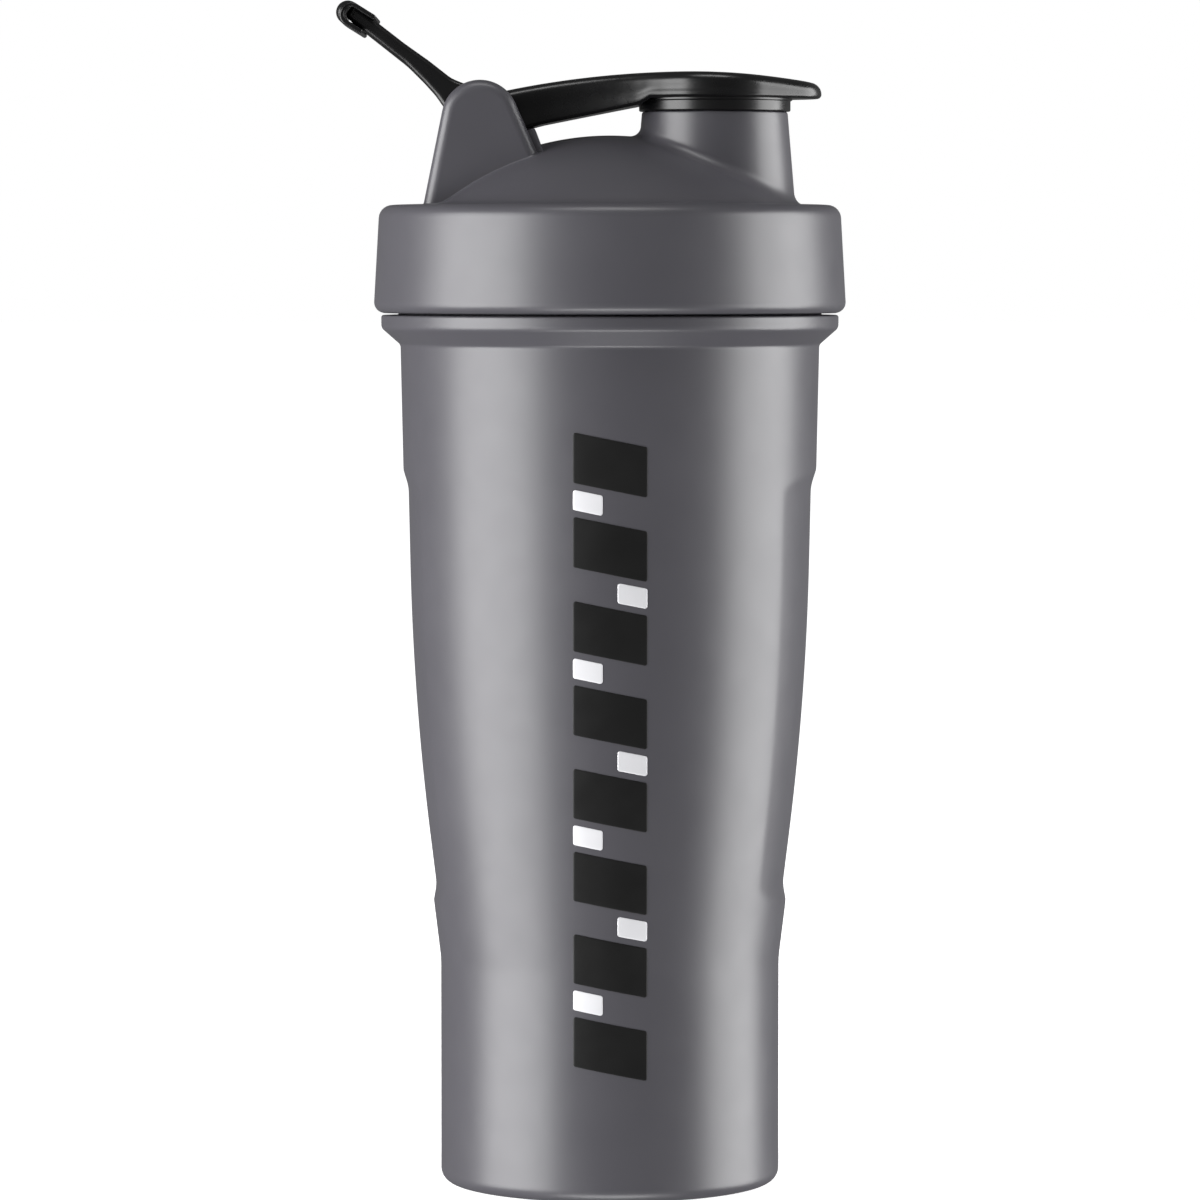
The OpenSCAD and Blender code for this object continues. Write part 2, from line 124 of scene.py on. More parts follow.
def colour(name, description, value):
    """A linear colour."""
    return bpy.props.FloatVectorProperty(
        name=name, description=description, default=value, size=3, subtype="COLOR", min=0.0, max=1.0)


class ShakerCup(bpy.types.PropertyGroup):
    """Sizes of the cup."""
    base_radius: length("Base radius", "Radius of the straight base", 35.0)
    base_height: length("Base height", "Height of the straight base", 45.0)
    root_height: length("Root height", "Height of the soft bend above the base", 3.0)
    flare_height: length("Flare height", "Height of the cone above the bend", 24.0)
    belly_height: length("Belly height", "Height of the rounded stretch above the cone", 56.0)
    upper_height: length("Upper height", "Height of the almost straight stretch under the collar", 45.4)
    body_radius: length("Body radius", "Radius just under the collar", 43.2)
    taper: share("Taper", "Growth in radius for each millimetre of the upper stretch", 0.022)
    wall: length("Wall", "Thickness of the cup's wall", 1.8)
    floor: length("Floor", "Thickness of the cup's floor", 2.4)
    push_up: length("Push-up", "Height of the hollow under the base", 1.4)
    foot_ring: length("Foot ring", "Width of the flat ring round the base", 3.0)
    foot_pad: length("Foot pad", "Radius of the flat pad in the middle of the base", 10.0)
    foot_edge: length("Foot edge", "Radius of the base's lower edge", 2.8)
    collar_height: length("Collar height", "Height of the collar's straight rim", 2.2)
    flare_drop: length("Flare drop", "How far the collar's flare ends below its straight rim", 0.475)
    ledge: length("Ledge", "Width of the ledge outside the neck", 3.6)
    neck_wall: length("Neck wall", "Thickness of the neck", 2.4)


class ShakerGrips(bpy.types.PropertyGroup):
    """Sizes of the two dished side grips."""
    low: length("Lower end", "Height of the lower end above the table", 56.0)
    height: length("Height", "Height of a grip from end to end", 94.2)
    depth: length("Depth", "Depth at the middle", 1.05)
    ramp: length("Ramp", "Height of the sloped stretch at each end", 7.0)
    shift: length("Shift", "Offset of the axis that the floor is turned about", 10.0)
    soft: length("Soft edge", "Rounding of the edge round a grip", 0.1)
    turned: turn("Turn", "How far the pair is turned about the cup's axis", -5.0)


class ShakerThread(bpy.types.PropertyGroup):
    """Sizes of the two-start thread."""
    lead: length("Lead", "Rise of the lid for one turn", 10.0)
    height: length("Height", "Radial height of a ridge", 1.6)
    root: length("Root", "Width of a ridge at its root", 2.6)
    crest: length("Crest", "Width of a ridge at its crest", 1.2)
    below_rim: length("Below rim", "Distance of the neck's ridges below the rim", 3.4)
    play: length("Play", "Gap between the flanks of the two threads", 0.35)
    gap: length("Gap", "Gap between the ridges' tips and the skirt", 0.6)
    neck_wrap: turn("Neck wrap", "Angle that each ridge on the neck covers", 225.0)
    lid_wrap: turn("Lid wrap", "Angle that each ridge in the lid covers", 105.0)


class ShakerLid(bpy.types.PropertyGroup):
    """Sizes of the screw lid, its dome and its spout."""
    thickness: length("Thickness", "Thickness of the shoulder and the dome", 2.2)
    lower_edge: length("Lower edge", "Radius of the skirt's lower edge", 2.2)
    shoulder_edge: length("Shoulder edge", "Radius of the edge round the shoulder", 2.8)
    lean: length("Lean", "Inward lean of the skirt up to the shoulder", 1.25)
    skirt: length("Skirt", "Thickness of the skirt at its lower edge", 3.0)
    dome_radius: length("Dome radius", "Radius of the sphere that the dome is part of", 57.0)
    dome_height: length("Dome height", "Height of the dome above the shoulder", 14.3)
    dome_root: length("Dome root", "Softness of the line where the dome meets the shoulder", 1.2)
    plug_height: length("Plug height", "Depth of the ring that reaches into the neck", 5.6)
    plug: length("Plug", "Thickness of that ring", 1.8)
    plug_gap: length("Plug gap", "Gap between that ring and the neck", 0.4)
    spout_from_axis: length("Spout offset", "Distance of the spout from the bottle's axis", 21.6)
    spout_radius: length("Spout radius", "Outer radius of the spout at its mouth", 15.0)
    spout_flare: length("Spout flare", "Growth of the spout's radius down to the shoulder", 1.6)
    spout_height: length("Spout height", "Height of the mouth above the shoulder", 19.1)
    spout_wall: length("Spout wall", "Wall of the spout", 1.8)
    spout_root: length("Spout root", "Radius of the fillet round the spout's foot", 2.4)


class ShakerEars(bpy.types.PropertyGroup):
    """Sizes of the two hinge ears and the bridge between them."""
    radius: length("Radius", "Radius of an ear's round top", 7.85)
    width: length("Width", "Distance between the ears' outer faces", 32.4)
    thickness: length("Thickness", "Thickness of an ear", 4.2)
    back_lean: turn("Back lean", "Lean of the edge on the loop's side", 11.4)
    front_lean: turn("Front lean", "Lean of the edge on the spout's side", 23.8)
    outer_edge: length("Outer edge", "Radius of the edge round an ear's outer face", 2.1)
    inner_edge: length("Inner edge", "Radius of the edge round an ear's inner face", 0.5)
    root: length("Root", "Radius of the fillet round an ear's foot", 0.5)
    bridge: length("Bridge", "Thickness of the bridge between the ears", 2.6)


class ShakerCap(bpy.types.PropertyGroup):
    """Sizes of the flip cap and the seal under it."""
    barrel: length("Barrel", "Radius of the barrel on the hinge", 5.4)
    pin: length("Pin", "Radius of the hinge pins", 2.2)
    pin_in: length("Pin depth", "Depth that a pin reaches into an ear", 1.8)
    arm_width: length("Arm width", "Width of the arm", 17.2)
    head: length("Head", "Radius of the round head", 16.6)
    tab: length("Tab", "Radius of the thumb tab's end", 9.0)
    blend: length("Blend", "Radius between the arm and the head", 55.0)
    skirt_height: length("Skirt height", "Height of the ring between the spout and the head", 2.7)
    ring: length("Ring", "Radius of that ring", 15.6)
    skirt: length("Skirt", "Thickness of that ring", 1.6)
    crown: length("Crown", "Radius of the arc along the top", 177.5)
    crown_from_axis: length("Crown offset", "Distance of the arc's highest point from the axis", 15.0)
    upper_edge: length("Upper edge", "Radius of the upper edge", 2.0)
    lower_edge: length("Lower edge", "Radius of the lower edge", 0.9)
    dish: length("Dish", "Depth of the shallow hollow along the arm's side", 0.35)
    seal_wall: length("Seal wall", "Thickness of the seal", 2.9)
    seal_rib: length("Seal rib", "Height of the ribs round the seal", 0.25)


class ShakerLoop(bpy.types.PropertyGroup):
    """Sizes of the carry loop."""
    angle: turn("Angle", "Angle of the loop above the table", 38.0)
    reach: length("Reach", "Distance of the loop's tip from the hinge", 37.0)
    arm_in: length("Arm start", "Distance of an arm's inner face from the middle", 8.9)
    arm: length("Arm width", "Width of an arm", 2.8)
    eyelet: length("Eyelet", "Radius of the eyelets on the hinge", 4.6)
    edge: length("Edge", "Radius of the arms' edges", 1.1)
    bar_width: length("Bar width", "Length of the finger bar", 27.0)
    bar_height: length("Bar height", "Height of the finger bar", 4.85)
    bar_depth: length("Bar depth", "Depth of the finger bar's upper wall along the loop", 7.4)
    bar_short: length("Bar lower wall", "How much shorter the bar's lower wall is", 0.9)
    bar_lip: length("Bar lip", "Thickness of the finger bar's wall", 1.0)
    bar_corner: length("Bar corner", "Radius of the bar's corners seen from above", 2.0)
    bar_tilt: turn("Bar tilt", "Tilt of the finger bar against the arms", 6.0)


class ShakerBall(bpy.types.PropertyGroup):
    """Sizes of the whisk ball."""
    wire: length("Wire", "Radius of the wire", 1.1)
    turns: count("Turns", "Turns of the wire from pole to pole", 9)


class ShakerPrint(bpy.types.PropertyGroup):
    """The printed column of slanted bars."""
    ink: length("Ink", "Thickness of the ink", 0.12)
    pitch: length("Pitch", "Height of one bar with the gap above it", 16.9)
    slant: length("Slant", "Rise of a bar across the column", 3.0)
    corner: length("Corner", "Radius of a bar's corners", 0.5)
    bars: count("Bars", "Number of black bars", 8)
    black_share: share("Black share", "Height of a black bar as a share of the pitch", 0.6)
    silver_start: share("Silver start", "Start of a silver bar as a share of the pitch", 0.68)
    silver_share: share("Silver share", "Height of a silver bar as a share of the pitch", 0.24)
    silver_inner: share("Silver inner end", "Place of its inner end as a share of the half width", 0.2)


class ShakerFinish(bpy.types.PropertyGroup):
    """Colours and gloss."""
    grey: colour("Grey", "Satin plastic of the cup and the lid", (0.052, 0.0505, 0.058))
    black: colour("Black", "Satin plastic of the cap and the loop", (0.003, 0.003, 0.0032))
    silicone: colour("Silicone", "Seals", (0.02, 0.02, 0.021))
    steel: colour("Steel", "Wire of the whisk ball", (0.62, 0.62, 0.64))
    black_ink: colour("Black ink", "Dark layer of the print", (0.006, 0.006, 0.006))
    silver_ink: colour("Silver ink", "Light layer of the print", (0.62, 0.62, 0.64))
    grey_rough: share("Grey roughness", "Roughness of the satin plastic", 0.38)
    black_rough: share("Black roughness", "Roughness of the cap and the loop", 0.28)


class ShakerStudio(bpy.types.PropertyGroup):
    """The camera, the lamps, the room's light and the floor."""
    eye: bpy.props.FloatVectorProperty(
        name="Eye", description="Place of the camera", default=(-0.00204, -1.289, 0.1893),
        size=3, unit="LENGTH", subtype="TRANSLATION")
    pitch: turn("Pitch", "How far the camera looks down", 3.05)
    focal: share("Focal length", "Lens in millimetres", 187.2, 1000.0)
    sensor: share("Sensor", "Width of the sensor in millimetres", 36.0, 100.0)
    clip_end: share("Clip end", "How far the camera sees, in metres", 100.0, 1000.0)
    floor_size: length("Floor size", "Side of the floor", 40000.0)
    floor_colour: colour("Floor colour", "Pale floor", (0.9, 0.9, 0.9))
    room: share("Room", "Strength of the room's soft light on the bottle", 0.15, 10.0)
    backdrop: share("Backdrop", "Brightness of the room as it is seen", 1.0, 10.0)
    floor_glow: share("Floor glow", "Brightness added to the floor as it is seen", 0.75, 10.0)
    left_angle: turn("Left lamp angle", "From the camera's side round to the left", 66.5)
    right_angle: turn("Right lamp angle", "From the camera's side round to the right", 92.0)
    left_width: length("Left lamp width", "Width of the tall lamp on the left", 880.0)
    right_width: length("Right lamp width", "Width of the tall lamp on the right", 780.0)
    left_power: share("Left lamp power", "Watts of the tall lamp on the left", 26.5, 1000.0)
    right_power: share("Right lamp power", "Watts of the tall lamp on the right", 20.5, 1000.0)
    lamp_distance: length("Lamp distance", "Distance of the lamps", 900.0)
    lamp_height: length("Lamp height", "Height of the tall lamps", 1100.0)
    lamp_middle: length("Lamp middle", "Height of the lamps' middle above the floor", 110.0)
    upper_angle: turn("Upper lamp angle", "Height angle of the lamps over and under the camera", 68.0)
    upper_width: length("Upper lamp width", "Width of the upper and the lower lamp", 600.0)
    upper_depth: length("Upper lamp depth", "Depth of the upper and the lower lamp", 250.0)
    upper_power: share("Upper lamp power", "Watts of the upper lamp", 3.4, 1000.0)
    lower_power: share("Lower lamp power", "Watts of the lamp under the camera", 4.0, 1000.0)


GROUPS = {
    "shaker_cup": ShakerCup, "shaker_grips": ShakerGrips, "shaker_thread": ShakerThread,
    "shaker_lid": ShakerLid, "shaker_ears": ShakerEars, "shaker_cap": ShakerCap, "shaker_loop": ShakerLoop,
    "shaker_ball": ShakerBall, "shaker_print": ShakerPrint, "shaker_finish": ShakerFinish,
    "shaker_studio": ShakerStudio,
}


def values(name):
    """The values of the group shaker_name as plain numbers, with each length in millimetres."""
    group = getattr(bpy.context.scene, f"shaker_{name}")
    found = {}
    for prop in group.bl_rna.properties:
        if prop.identifier in ("rna_type", "name"):
            continue
        value = getattr(group, prop.identifier)
        found[prop.identifier] = value / MM if prop.unit == "LENGTH" and prop.array_length == 0 else value
    return SimpleNamespace(**found)


# ---- Shapes as arrays ----

def arc(centre, radius, start, end, steps):
    """Points on a circle: centre plus radius times the cosine and sine of angles from start to end, which
    are in degrees."""
    a = np.radians(np.linspace(start, end, steps + 1))
    return np.stack([centre[0] + radius * np.cos(a), centre[1] + radius * np.sin(a)], -1)


def rounded(corners, closed=False, steps=6, support=0.22):
    """A line through corners (x, y, radius). At each corner it follows the circle of that radius which
    touches both sides, with one more point a little before and after it to keep the shading crisp."""
    all_but_straight, share_of_side, too_close = math.radians(89.5), 0.4, 0.02
    pts = np.array([c[:2] for c in corners], float)
    radii = [c[2] if len(c) > 2 else 0.0 for c in corners]
    n = len(pts)
    line = []
    for i, radius in enumerate(radii):
        if radius == 0 or (not closed and i in (0, n - 1)):
            line.append(pts[i][None])
            continue
        to_last, to_next = pts[i - 1] - pts[i], pts[(i + 1) % n] - pts[i]
        room = min(np.linalg.norm(to_last), np.linalg.norm(to_next))
        u, v = to_last / np.linalg.norm(to_last), to_next / np.linalg.norm(to_next)
        half = math.acos(np.clip(u @ v, -1, 1)) / 2
        if half > all_but_straight:
            line.append(pts[i][None])
            continue
        touch = radius / math.tan(half)
        centre = pts[i] + (u + v) / np.linalg.norm(u + v) * radius / math.sin(half)
        first, last = pts[i] + u * touch - centre, pts[i] + v * touch - centre
        turned = math.atan2(first[0] * last[1] - first[1] * last[0], first @ last)
        k = max(2, math.ceil(steps * abs(turned) / (math.pi / 2)))
        a = np.linspace(0, turned, k + 1)
        bend = centre + np.stack([first[0] * np.cos(a) - first[1] * np.sin(a),
                                  first[0] * np.sin(a) + first[1] * np.cos(a)], -1)
        beside = min(support, share_of_side * max(room - touch, 0))
        ends = pts[i] + (touch + beside) * np.array([u, v])
        line += [bend] if beside < too_close else [ends[:1], bend, ends[1:]]
    return np.concatenate(line)


def quarter(steps):
    """Angles from nought to a quarter turn."""
    return np.radians(np.linspace(0, 90, steps + 1))


def dense(line, gap, closed=False):
    """The same line with points added so that no two are further apart than gap."""
    nexts = np.roll(line, -1, 0) if closed else line[1:]
    firsts = line if closed else line[:-1]
    steps = np.maximum(1, np.ceil(np.linalg.norm(nexts - firsts, axis=1) / gap)).astype(int)
    parts = [a + (b - a) * np.arange(k)[:, None] / k for a, b, k in zip(firsts, nexts, steps)]
    return np.concatenate(parts if closed else parts + [line[-1:]])


def outward(line):
    """Unit normals of a closed anticlockwise line: its direction turned a quarter turn clockwise."""
    along = np.roll(line, -1, 0) - np.roll(line, 1, 0)
    normal = np.stack([along[:, 1], -along[:, 0]], -1)
    return normal / np.linalg.norm(normal, axis=1, keepdims=True)


def soft_max(a, b, k):
    """The larger of a and b, with a parabola where they differ by less than k."""
    h = np.clip(0.5 + 0.5 * (a - b) / k, 0, 1)
    return b + (a - b) * h + k * h * (1 - h)


def soft_min(a, b, k):
    """The smaller of a and b, with a parabola where they differ by less than k."""
    return -soft_max(-a, -b, k)


def soft_step(x, low, high):
    """0 below low, 1 above high, and 3t squared less 2t cubed between."""
    t = np.clip((x - low) / (high - low), 0, 1)
    return t * t * (3 - 2 * t)


def lathe(profile, columns, centre=(0.0, 0.0)):
    """Each profile point (r, z) carried round the upright axis through centre: x and y are r times the cosine
    and sine of the column's angle."""
    a = np.arange(columns) * 2 * math.pi / columns
    r, z = profile[:, 0, None], profile[:, 1, None]
    return np.stack([centre[0] + r * np.cos(a), centre[1] + r * np.sin(a), z + 0 * a], -1)


def carried(path, across, up, section):
    """A closed section (a, b) carried along a path: point plus a times across plus b times up. Each end is
    closed by a row drawn together in the section's middle."""
    a, b = section[..., 0], section[..., 1]
    body = path[:, None] + a[..., None] * across[:, None] + b[..., None] * up[:, None]
    first, last = (np.broadcast_to(row.mean(1, keepdims=True), row.shape) for row in (body[:1], body[-1:]))
    return np.concatenate([first, body, last])


def level(flat, z):
    """Points of a plan at the height or heights z."""
    return np.column_stack([flat, np.broadcast_to(z, len(flat))])


def slab(outline, normals, spine, section, fill=1):
    """A closed plate. Its rows run from the spine out to the outline on one face, over the edge, and back to
    the spine on the other. Section rows (inset, height): outline less inset times normal, at that height."""
    rim = [level(outline - inset * normals, height) for inset, height in section]
    middle = [level(spine, height) for height in (section[0][1], section[-1][1])]
    shares = np.arange(fill) / fill
    first = [middle[0] + (rim[0] - middle[0]) * s for s in shares]
    last = [middle[1] + (rim[-1] - middle[1]) * s for s in shares[::-1]]
    return np.stack(first + rim + last)


def edge_section(thickness, low_radius, high_radius, steps=6, support=0.25):
    """(inset, height) rows of an edge from height 0 to thickness, rounded by a quarter circle at each end."""
    a = quarter(steps)
    low = np.stack([low_radius * (1 - np.sin(a)), low_radius * (1 - np.cos(a))], -1)
    high = np.stack([high_radius * (1 - np.cos(a)), thickness - high_radius + high_radius * np.sin(a)], -1)
    first, last = [[low_radius + support, 0]], [[high_radius + support, thickness]]
    return [tuple(row) for row in np.concatenate([first, low, high, last])]


# ---- Meshes ----

def placed(name, data):
    """An object with this data, in the scene."""
    made = bpy.data.objects.new(name, data)
    bpy.context.scene.collection.objects.link(made)
    return made


def piece(name, grids, body, slot_name, replaces=()):
    """One mesh object from grids of points, whose columns close on themselves: each is (points, rows closed).
    Points that fall together are joined."""
    corners, faces, start = [], [], 0
    for points, rows_closed in grids:
        rows, columns = points.shape[:2]
        index = start + np.arange(rows * columns).reshape(rows, columns)
        low = index if rows_closed else index[:-1]
        high = np.roll(index, -1, 0) if rows_closed else index[1:]
        quads = np.stack([low, np.roll(low, -1, 1), np.roll(high, -1, 1), high], -1)
        faces.append(quads.reshape(-1, 4))
        corners.append(points.reshape(-1, 3))
        start += rows * columns
    corners, faces = np.concatenate(corners) * MM, np.concatenate(faces)
    mesh = bpy.data.meshes.new(name)
    mesh.vertices.add(len(corners))
    mesh.vertices.foreach_set("co", corners.astype(np.float32).ravel())
    mesh.loops.add(faces.size)
    mesh.loops.foreach_set("vertex_index", faces.astype(np.int32).ravel())
    mesh.polygons.add(len(faces))
    mesh.polygons.foreach_set("loop_start", np.arange(0, faces.size, 4, dtype=np.int32))
    mesh.update(calc_edges=True)
    work = bmesh.new()
    work.from_mesh(mesh)
    bmesh.ops.remove_doubles(work, verts=work.verts, dist=1e-7)
    bmesh.ops.dissolve_degenerate(work, edges=work.edges, dist=1e-7)
    bmesh.ops.recalc_face_normals(work, faces=work.faces)
    work.to_mesh(mesh)
    work.free()
    mesh.polygons.foreach_set("use_smooth", np.ones(len(mesh.polygons), bool))
    mesh.set_sharp_from_angle(angle=SHARP)
    mesh.materials.append(slot_finish(slot_name))
    made = placed(name, mesh)
    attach(made, body)
    if replaces:
        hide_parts(*replaces)


# ---- Finishes ----

def finish(name, base, rough, fine, spread, bump=0.0, grain=0.0, fixed=()):
    """A moulded finish: fine noise moves the colour by up to fine and the roughness by up to spread, and
    noise of grain cells to the metre raises a bump of that height in metres. Fixed are (socket, value)."""
    found = bpy.data.materials.get(name)
    if found:
        return found
    material = bpy.data.materials.new(name)
    material.use_nodes = True
    nodes, links = material.node_tree.nodes, material.node_tree.links
    shader = nodes["Principled BSDF"]
    for socket, value in fixed:
        shader.inputs[socket].default_value = value
    place = nodes.new("ShaderNodeTexCoord")

    def noise(scale, detail, low, high):
        """Noise on the object's own coordinates, mapped from its middle range to low and high."""
        texture = nodes.new("ShaderNodeTexNoise")
        texture.inputs["Scale"].default_value = scale
        texture.inputs["Detail"].default_value = detail
        ranged = nodes.new("ShaderNodeMapRange")
        ranged.inputs["From Min"].default_value, ranged.inputs["From Max"].default_value = 0.3, 0.7
        ranged.inputs["To Min"].default_value, ranged.inputs["To Max"].default_value = low, high
        links.new(place.outputs["Object"], texture.inputs["Vector"])
        links.new(texture.outputs["Fac"], ranged.inputs["Value"])
        return ranged.outputs["Result"]

    tint = nodes.new("ShaderNodeMix")
    tint.data_type = "RGBA"
    tint.inputs["A"].default_value = (*[c * (1 - fine) for c in base], 1)
    tint.inputs["B"].default_value = (*[min(1, c * (1 + fine)) for c in base], 1)
    links.new(noise(45, 3, 0, 1), tint.inputs["Factor"])
    links.new(tint.outputs["Result"], shader.inputs["Base Color"])
    links.new(noise(160, 4, rough - spread, rough + spread), shader.inputs["Roughness"])
    if bump:
        raised = nodes.new("ShaderNodeBump")
        raised.inputs["Strength"].default_value = 1.0
        raised.inputs["Distance"].default_value = bump
        links.new(noise(grain, 2, 0, 1), raised.inputs["Height"])
        links.new(raised.outputs["Normal"], shader.inputs["Normal"])
    return material


def slot_finish(slot_name):
    """The finish of a material slot: name, colour, roughness, both noises' reach, bump, grain and sockets."""
    look, gloss = values("finish"), "Specular IOR Level"
    return finish(*{
        "grey_plastic": ("grey satin plastic", look.grey, look.grey_rough, 0.03, 0.02, 2e-6, 2600,
                         [(gloss, 0.5)]),
        "black_plastic": ("black satin plastic", look.black, look.black_rough, 0.06, 0.03, 2e-6, 2600,
                          [(gloss, 0.42)]),
        "seal_silicone": ("seal silicone", look.silicone, 0.55, 0.08, 0.05, 3e-6, 1800, [(gloss, 0.4)]),
        "ball_wire": ("stainless wire", look.steel, 0.2, 0.03, 0.05, 1e-6, 2500, [("Metallic", 1.0)]),
        "black_ink": ("black ink", look.black_ink, 0.4, 0.1, 0.04, 2e-6, 3500, [(gloss, 0.22)]),
        "silver_ink": ("silver ink", look.silver_ink, 0.45, 0.03, 0.04, 3e-6, 4500, [("Metallic", 0.3)]),
    }[slot_name])


def pale_floor(base, glow, near=0.1, far=0.6):
    """A pale matt floor that glows: by the given strength up to near metres from the bottle, rising to 1 at
    far metres."""
    material = finish("pale floor", base, 0.7, 0.01, 0.02)
    nodes, links = material.node_tree.nodes, material.node_tree.links
    place = nodes.new("ShaderNodeTexCoord")
    away = nodes.new("ShaderNodeVectorMath")
    away.operation = "LENGTH"
    links.new(place.outputs["Object"], away.inputs[0])
    added = nodes.new("ShaderNodeMapRange")
    added.inputs["From Min"].default_value, added.inputs["From Max"].default_value = near, far
    added.inputs["To Min"].default_value, added.inputs["To Max"].default_value = glow, 1.0
    links.new(away.outputs["Value"], added.inputs["Value"])
    shader = nodes["Principled BSDF"]
    shader.inputs["Emission Color"].default_value = (1, 1, 1, 1)
    links.new(added.outputs["Result"], shader.inputs["Emission Strength"])
    return material


# ---- The cup ----

def heights():
    """The main heights of the cup, from its sizes and the frame's boxes."""
    cup = values("cup")
    cone = cup.base_height + cup.root_height
    belly = cone + cup.flare_height
    upper = belly + cup.belly_height
    collar = upper + cup.upper_height
    ceiling = gasket_high[2]
    return SimpleNamespace(cone=cone, belly=belly, upper=upper, collar=collar, rim=cup_high[2],
                           ceiling=ceiling, shoulder=ceiling + values("lid").thickness)


def cup_radius(z):
    """The cup without its grips: straight, a short parabola, a cone, a long parabola and a slight taper."""
    cup, at = values("cup"), heights()
    slope = (cup.body_radius - cup.base_radius - cup.taper * (cup.belly_height / 2 + cup.upper_height)) / (
        cup.root_height / 2 + cup.flare_height + cup.belly_height / 2)
    z = np.asarray(z, float)
    bend = np.clip(z - cup.base_height, 0, cup.root_height)
    cone = np.clip(z - at.cone, 0, cup.flare_height)
    belly = np.clip(z - at.belly, 0, cup.belly_height)
    upper = np.clip(z - at.upper, 0, None)
    return (cup.base_radius + slope * bend ** 2 / (2 * cup.root_height) + slope * cone
            + slope * belly - (slope - cup.taper) * belly ** 2 / (2 * cup.belly_height) + cup.taper * upper)


def gripped(grid, inset):
    """Presses the two grips into a turned grid. Each floor is turned about an axis shifted to the other side:
    its distance from the cup's axis is the root of the floor radius squared less (shift times sine) squared,
    less shift times cosine of the angle from the grip's middle. It holds where it's less than the radius."""
    grip, beyond = values("grips"), 0.4
    x, y, z = grid[..., 0], grid[..., 1], grid[..., 2]
    angle, radius = np.arctan2(y, x), np.hypot(x, y)
    off = (angle - grip.turned + math.pi / 2) % math.pi - math.pi / 2
    high = grip.low + grip.height
    sunk = soft_step(z, grip.low, grip.low + grip.ramp) * (1 - soft_step(z, high - grip.ramp, high))
    floor = cup_radius(z) - inset + beyond - (grip.depth + beyond) * sunk + grip.shift
    cut = np.sqrt(floor ** 2 - (grip.shift * np.sin(off)) ** 2) - grip.shift * np.cos(off)
    inside = (z > grip.low) & (z < high) & (radius > values("cup").base_radius * 0.8)
    new = np.where(inside, soft_min(radius, cut, grip.soft), radius)
    ratio = new / np.maximum(radius, 1e-9)
    return np.stack([x * ratio, y * ratio, z], -1)


def body_levels(low, high, gap):
    """Heights from low to high: gap apart, and closer at the bend and at the ends of the grips."""
    cup, grip = values("cup"), values("grips")
    top = grip.low + grip.height
    fine = [(cup.base_height, cup.base_height + cup.root_height), (grip.low, grip.low + grip.ramp),
            (top - grip.ramp, top)]
    marks = sorted({low, high, *[z for pair in fine for z in pair if low < z < high]})
    levels = []
    for a, b in zip(marks, marks[1:]):
        near = any(a >= f[0] - 1e-6 and b <= f[1] + 1e-6 for f in fine)
        steps = math.ceil((b - a) / (gap * 0.4 if near else gap))
        levels += [a + (b - a) * i / steps for i in range(steps)]
    return np.array(levels + [high])


def cup_grid(columns=400):
    """The whole cup as one closed skin: under the base, up the outside, over the rim and down the inside."""
    cup, at = values("cup"), heights()
    collar_radius, seam = cup_high[0], lid_low[2] - CLEAR
    neck = collar_radius - cup.ledge
    bore = neck - cup.neck_wall
    ring_in = cup.base_radius - cup.foot_edge - cup.foot_ring
    hollow, base_in = cup.push_up + cup.floor, cup.base_radius - cup.wall
    foot_top, collar_foot, neck_foot = 6.0, at.collar - 2.5, at.collar - 5
    under = rounded([(0, 0), (cup.foot_pad, 0, 0.4), (cup.foot_pad, cup.push_up, 0.4),
                     (ring_in, cup.push_up, 0.4), (ring_in, 0, 0.5), (cup.base_radius, 0, cup.foot_edge),
                     (cup.base_radius, foot_top)], steps=8)
    up = body_levels(foot_top + 0.5, collar_foot - 0.5, 2.2)
    top = rounded([(cup_radius(collar_foot), collar_foot), (cup.body_radius, at.collar, 1.2),
                   (collar_radius, seam - cup.collar_height - cup.flare_drop, 1.5),
                   (collar_radius, seam, 0.5), (neck, seam, 0.5), (neck, at.rim, 0.8), (bore, at.rim, 0.6),
                   (bore, seam - 1, 2.0), (cup_radius(at.collar) - cup.wall, at.collar, 2.0),
                   (cup_radius(neck_foot) - cup.wall, neck_foot)])
    down = body_levels(hollow + 3, neck_foot - 1, 6.0)[::-1]
    bottom = rounded([(base_in, hollow + 2.5), (base_in, hollow, 1.6), (0, hollow)], steps=5)
    outside = np.concatenate([under, level(cup_radius(up), up), top[:-1]])
    inside = np.concatenate([top[-1:], level(cup_radius(down) - cup.wall, down), bottom])
    return np.concatenate([gripped(lathe(outside, columns), 0), gripped(lathe(inside, columns), cup.wall)])


def ridge(root_radius, low, wrap, start, side):
    """One thread ridge: a rounded trapezium carried along a helix, whose height fades at both ends. Side is
    1 on the neck and -1 in the skirt."""
    thread = values("thread")
    step, fading, sunk = math.radians(2.5), math.radians(26), -0.4
    along = np.linspace(0, 1, max(12, round(wrap / step)) + 1)
    a = start + wrap * along
    z = low + thread.lead * wrap * along / (2 * math.pi)
    fade = np.clip(np.minimum(along, 1 - along) * wrap / fading, 0, 1)
    height = thread.height * np.sqrt(np.clip(1 - (1 - fade) ** 2, 0.02, 1))
    outline = rounded([(sunk, -thread.root / 2), (1.0, -thread.crest / 2, 0.3),
                       (1.0, thread.crest / 2, 0.3), (sunk, thread.root / 2)], closed=True, steps=4)
    reach_out = np.where(outline[:, 0] > 0, outline[:, 0] * height[:, None], outline[:, 0])
    section = np.stack([reach_out * side, np.broadcast_to(outline[:, 1], reach_out.shape)], -1)
    out = np.stack([np.cos(a), np.sin(a), 0 * a], -1)
    path = np.column_stack([root_radius * out[:, 0], root_radius * out[:, 1], z])
    up = np.broadcast_to([0.0, 0.0, 1.0], out.shape)
    return carried(path, out, up, section)


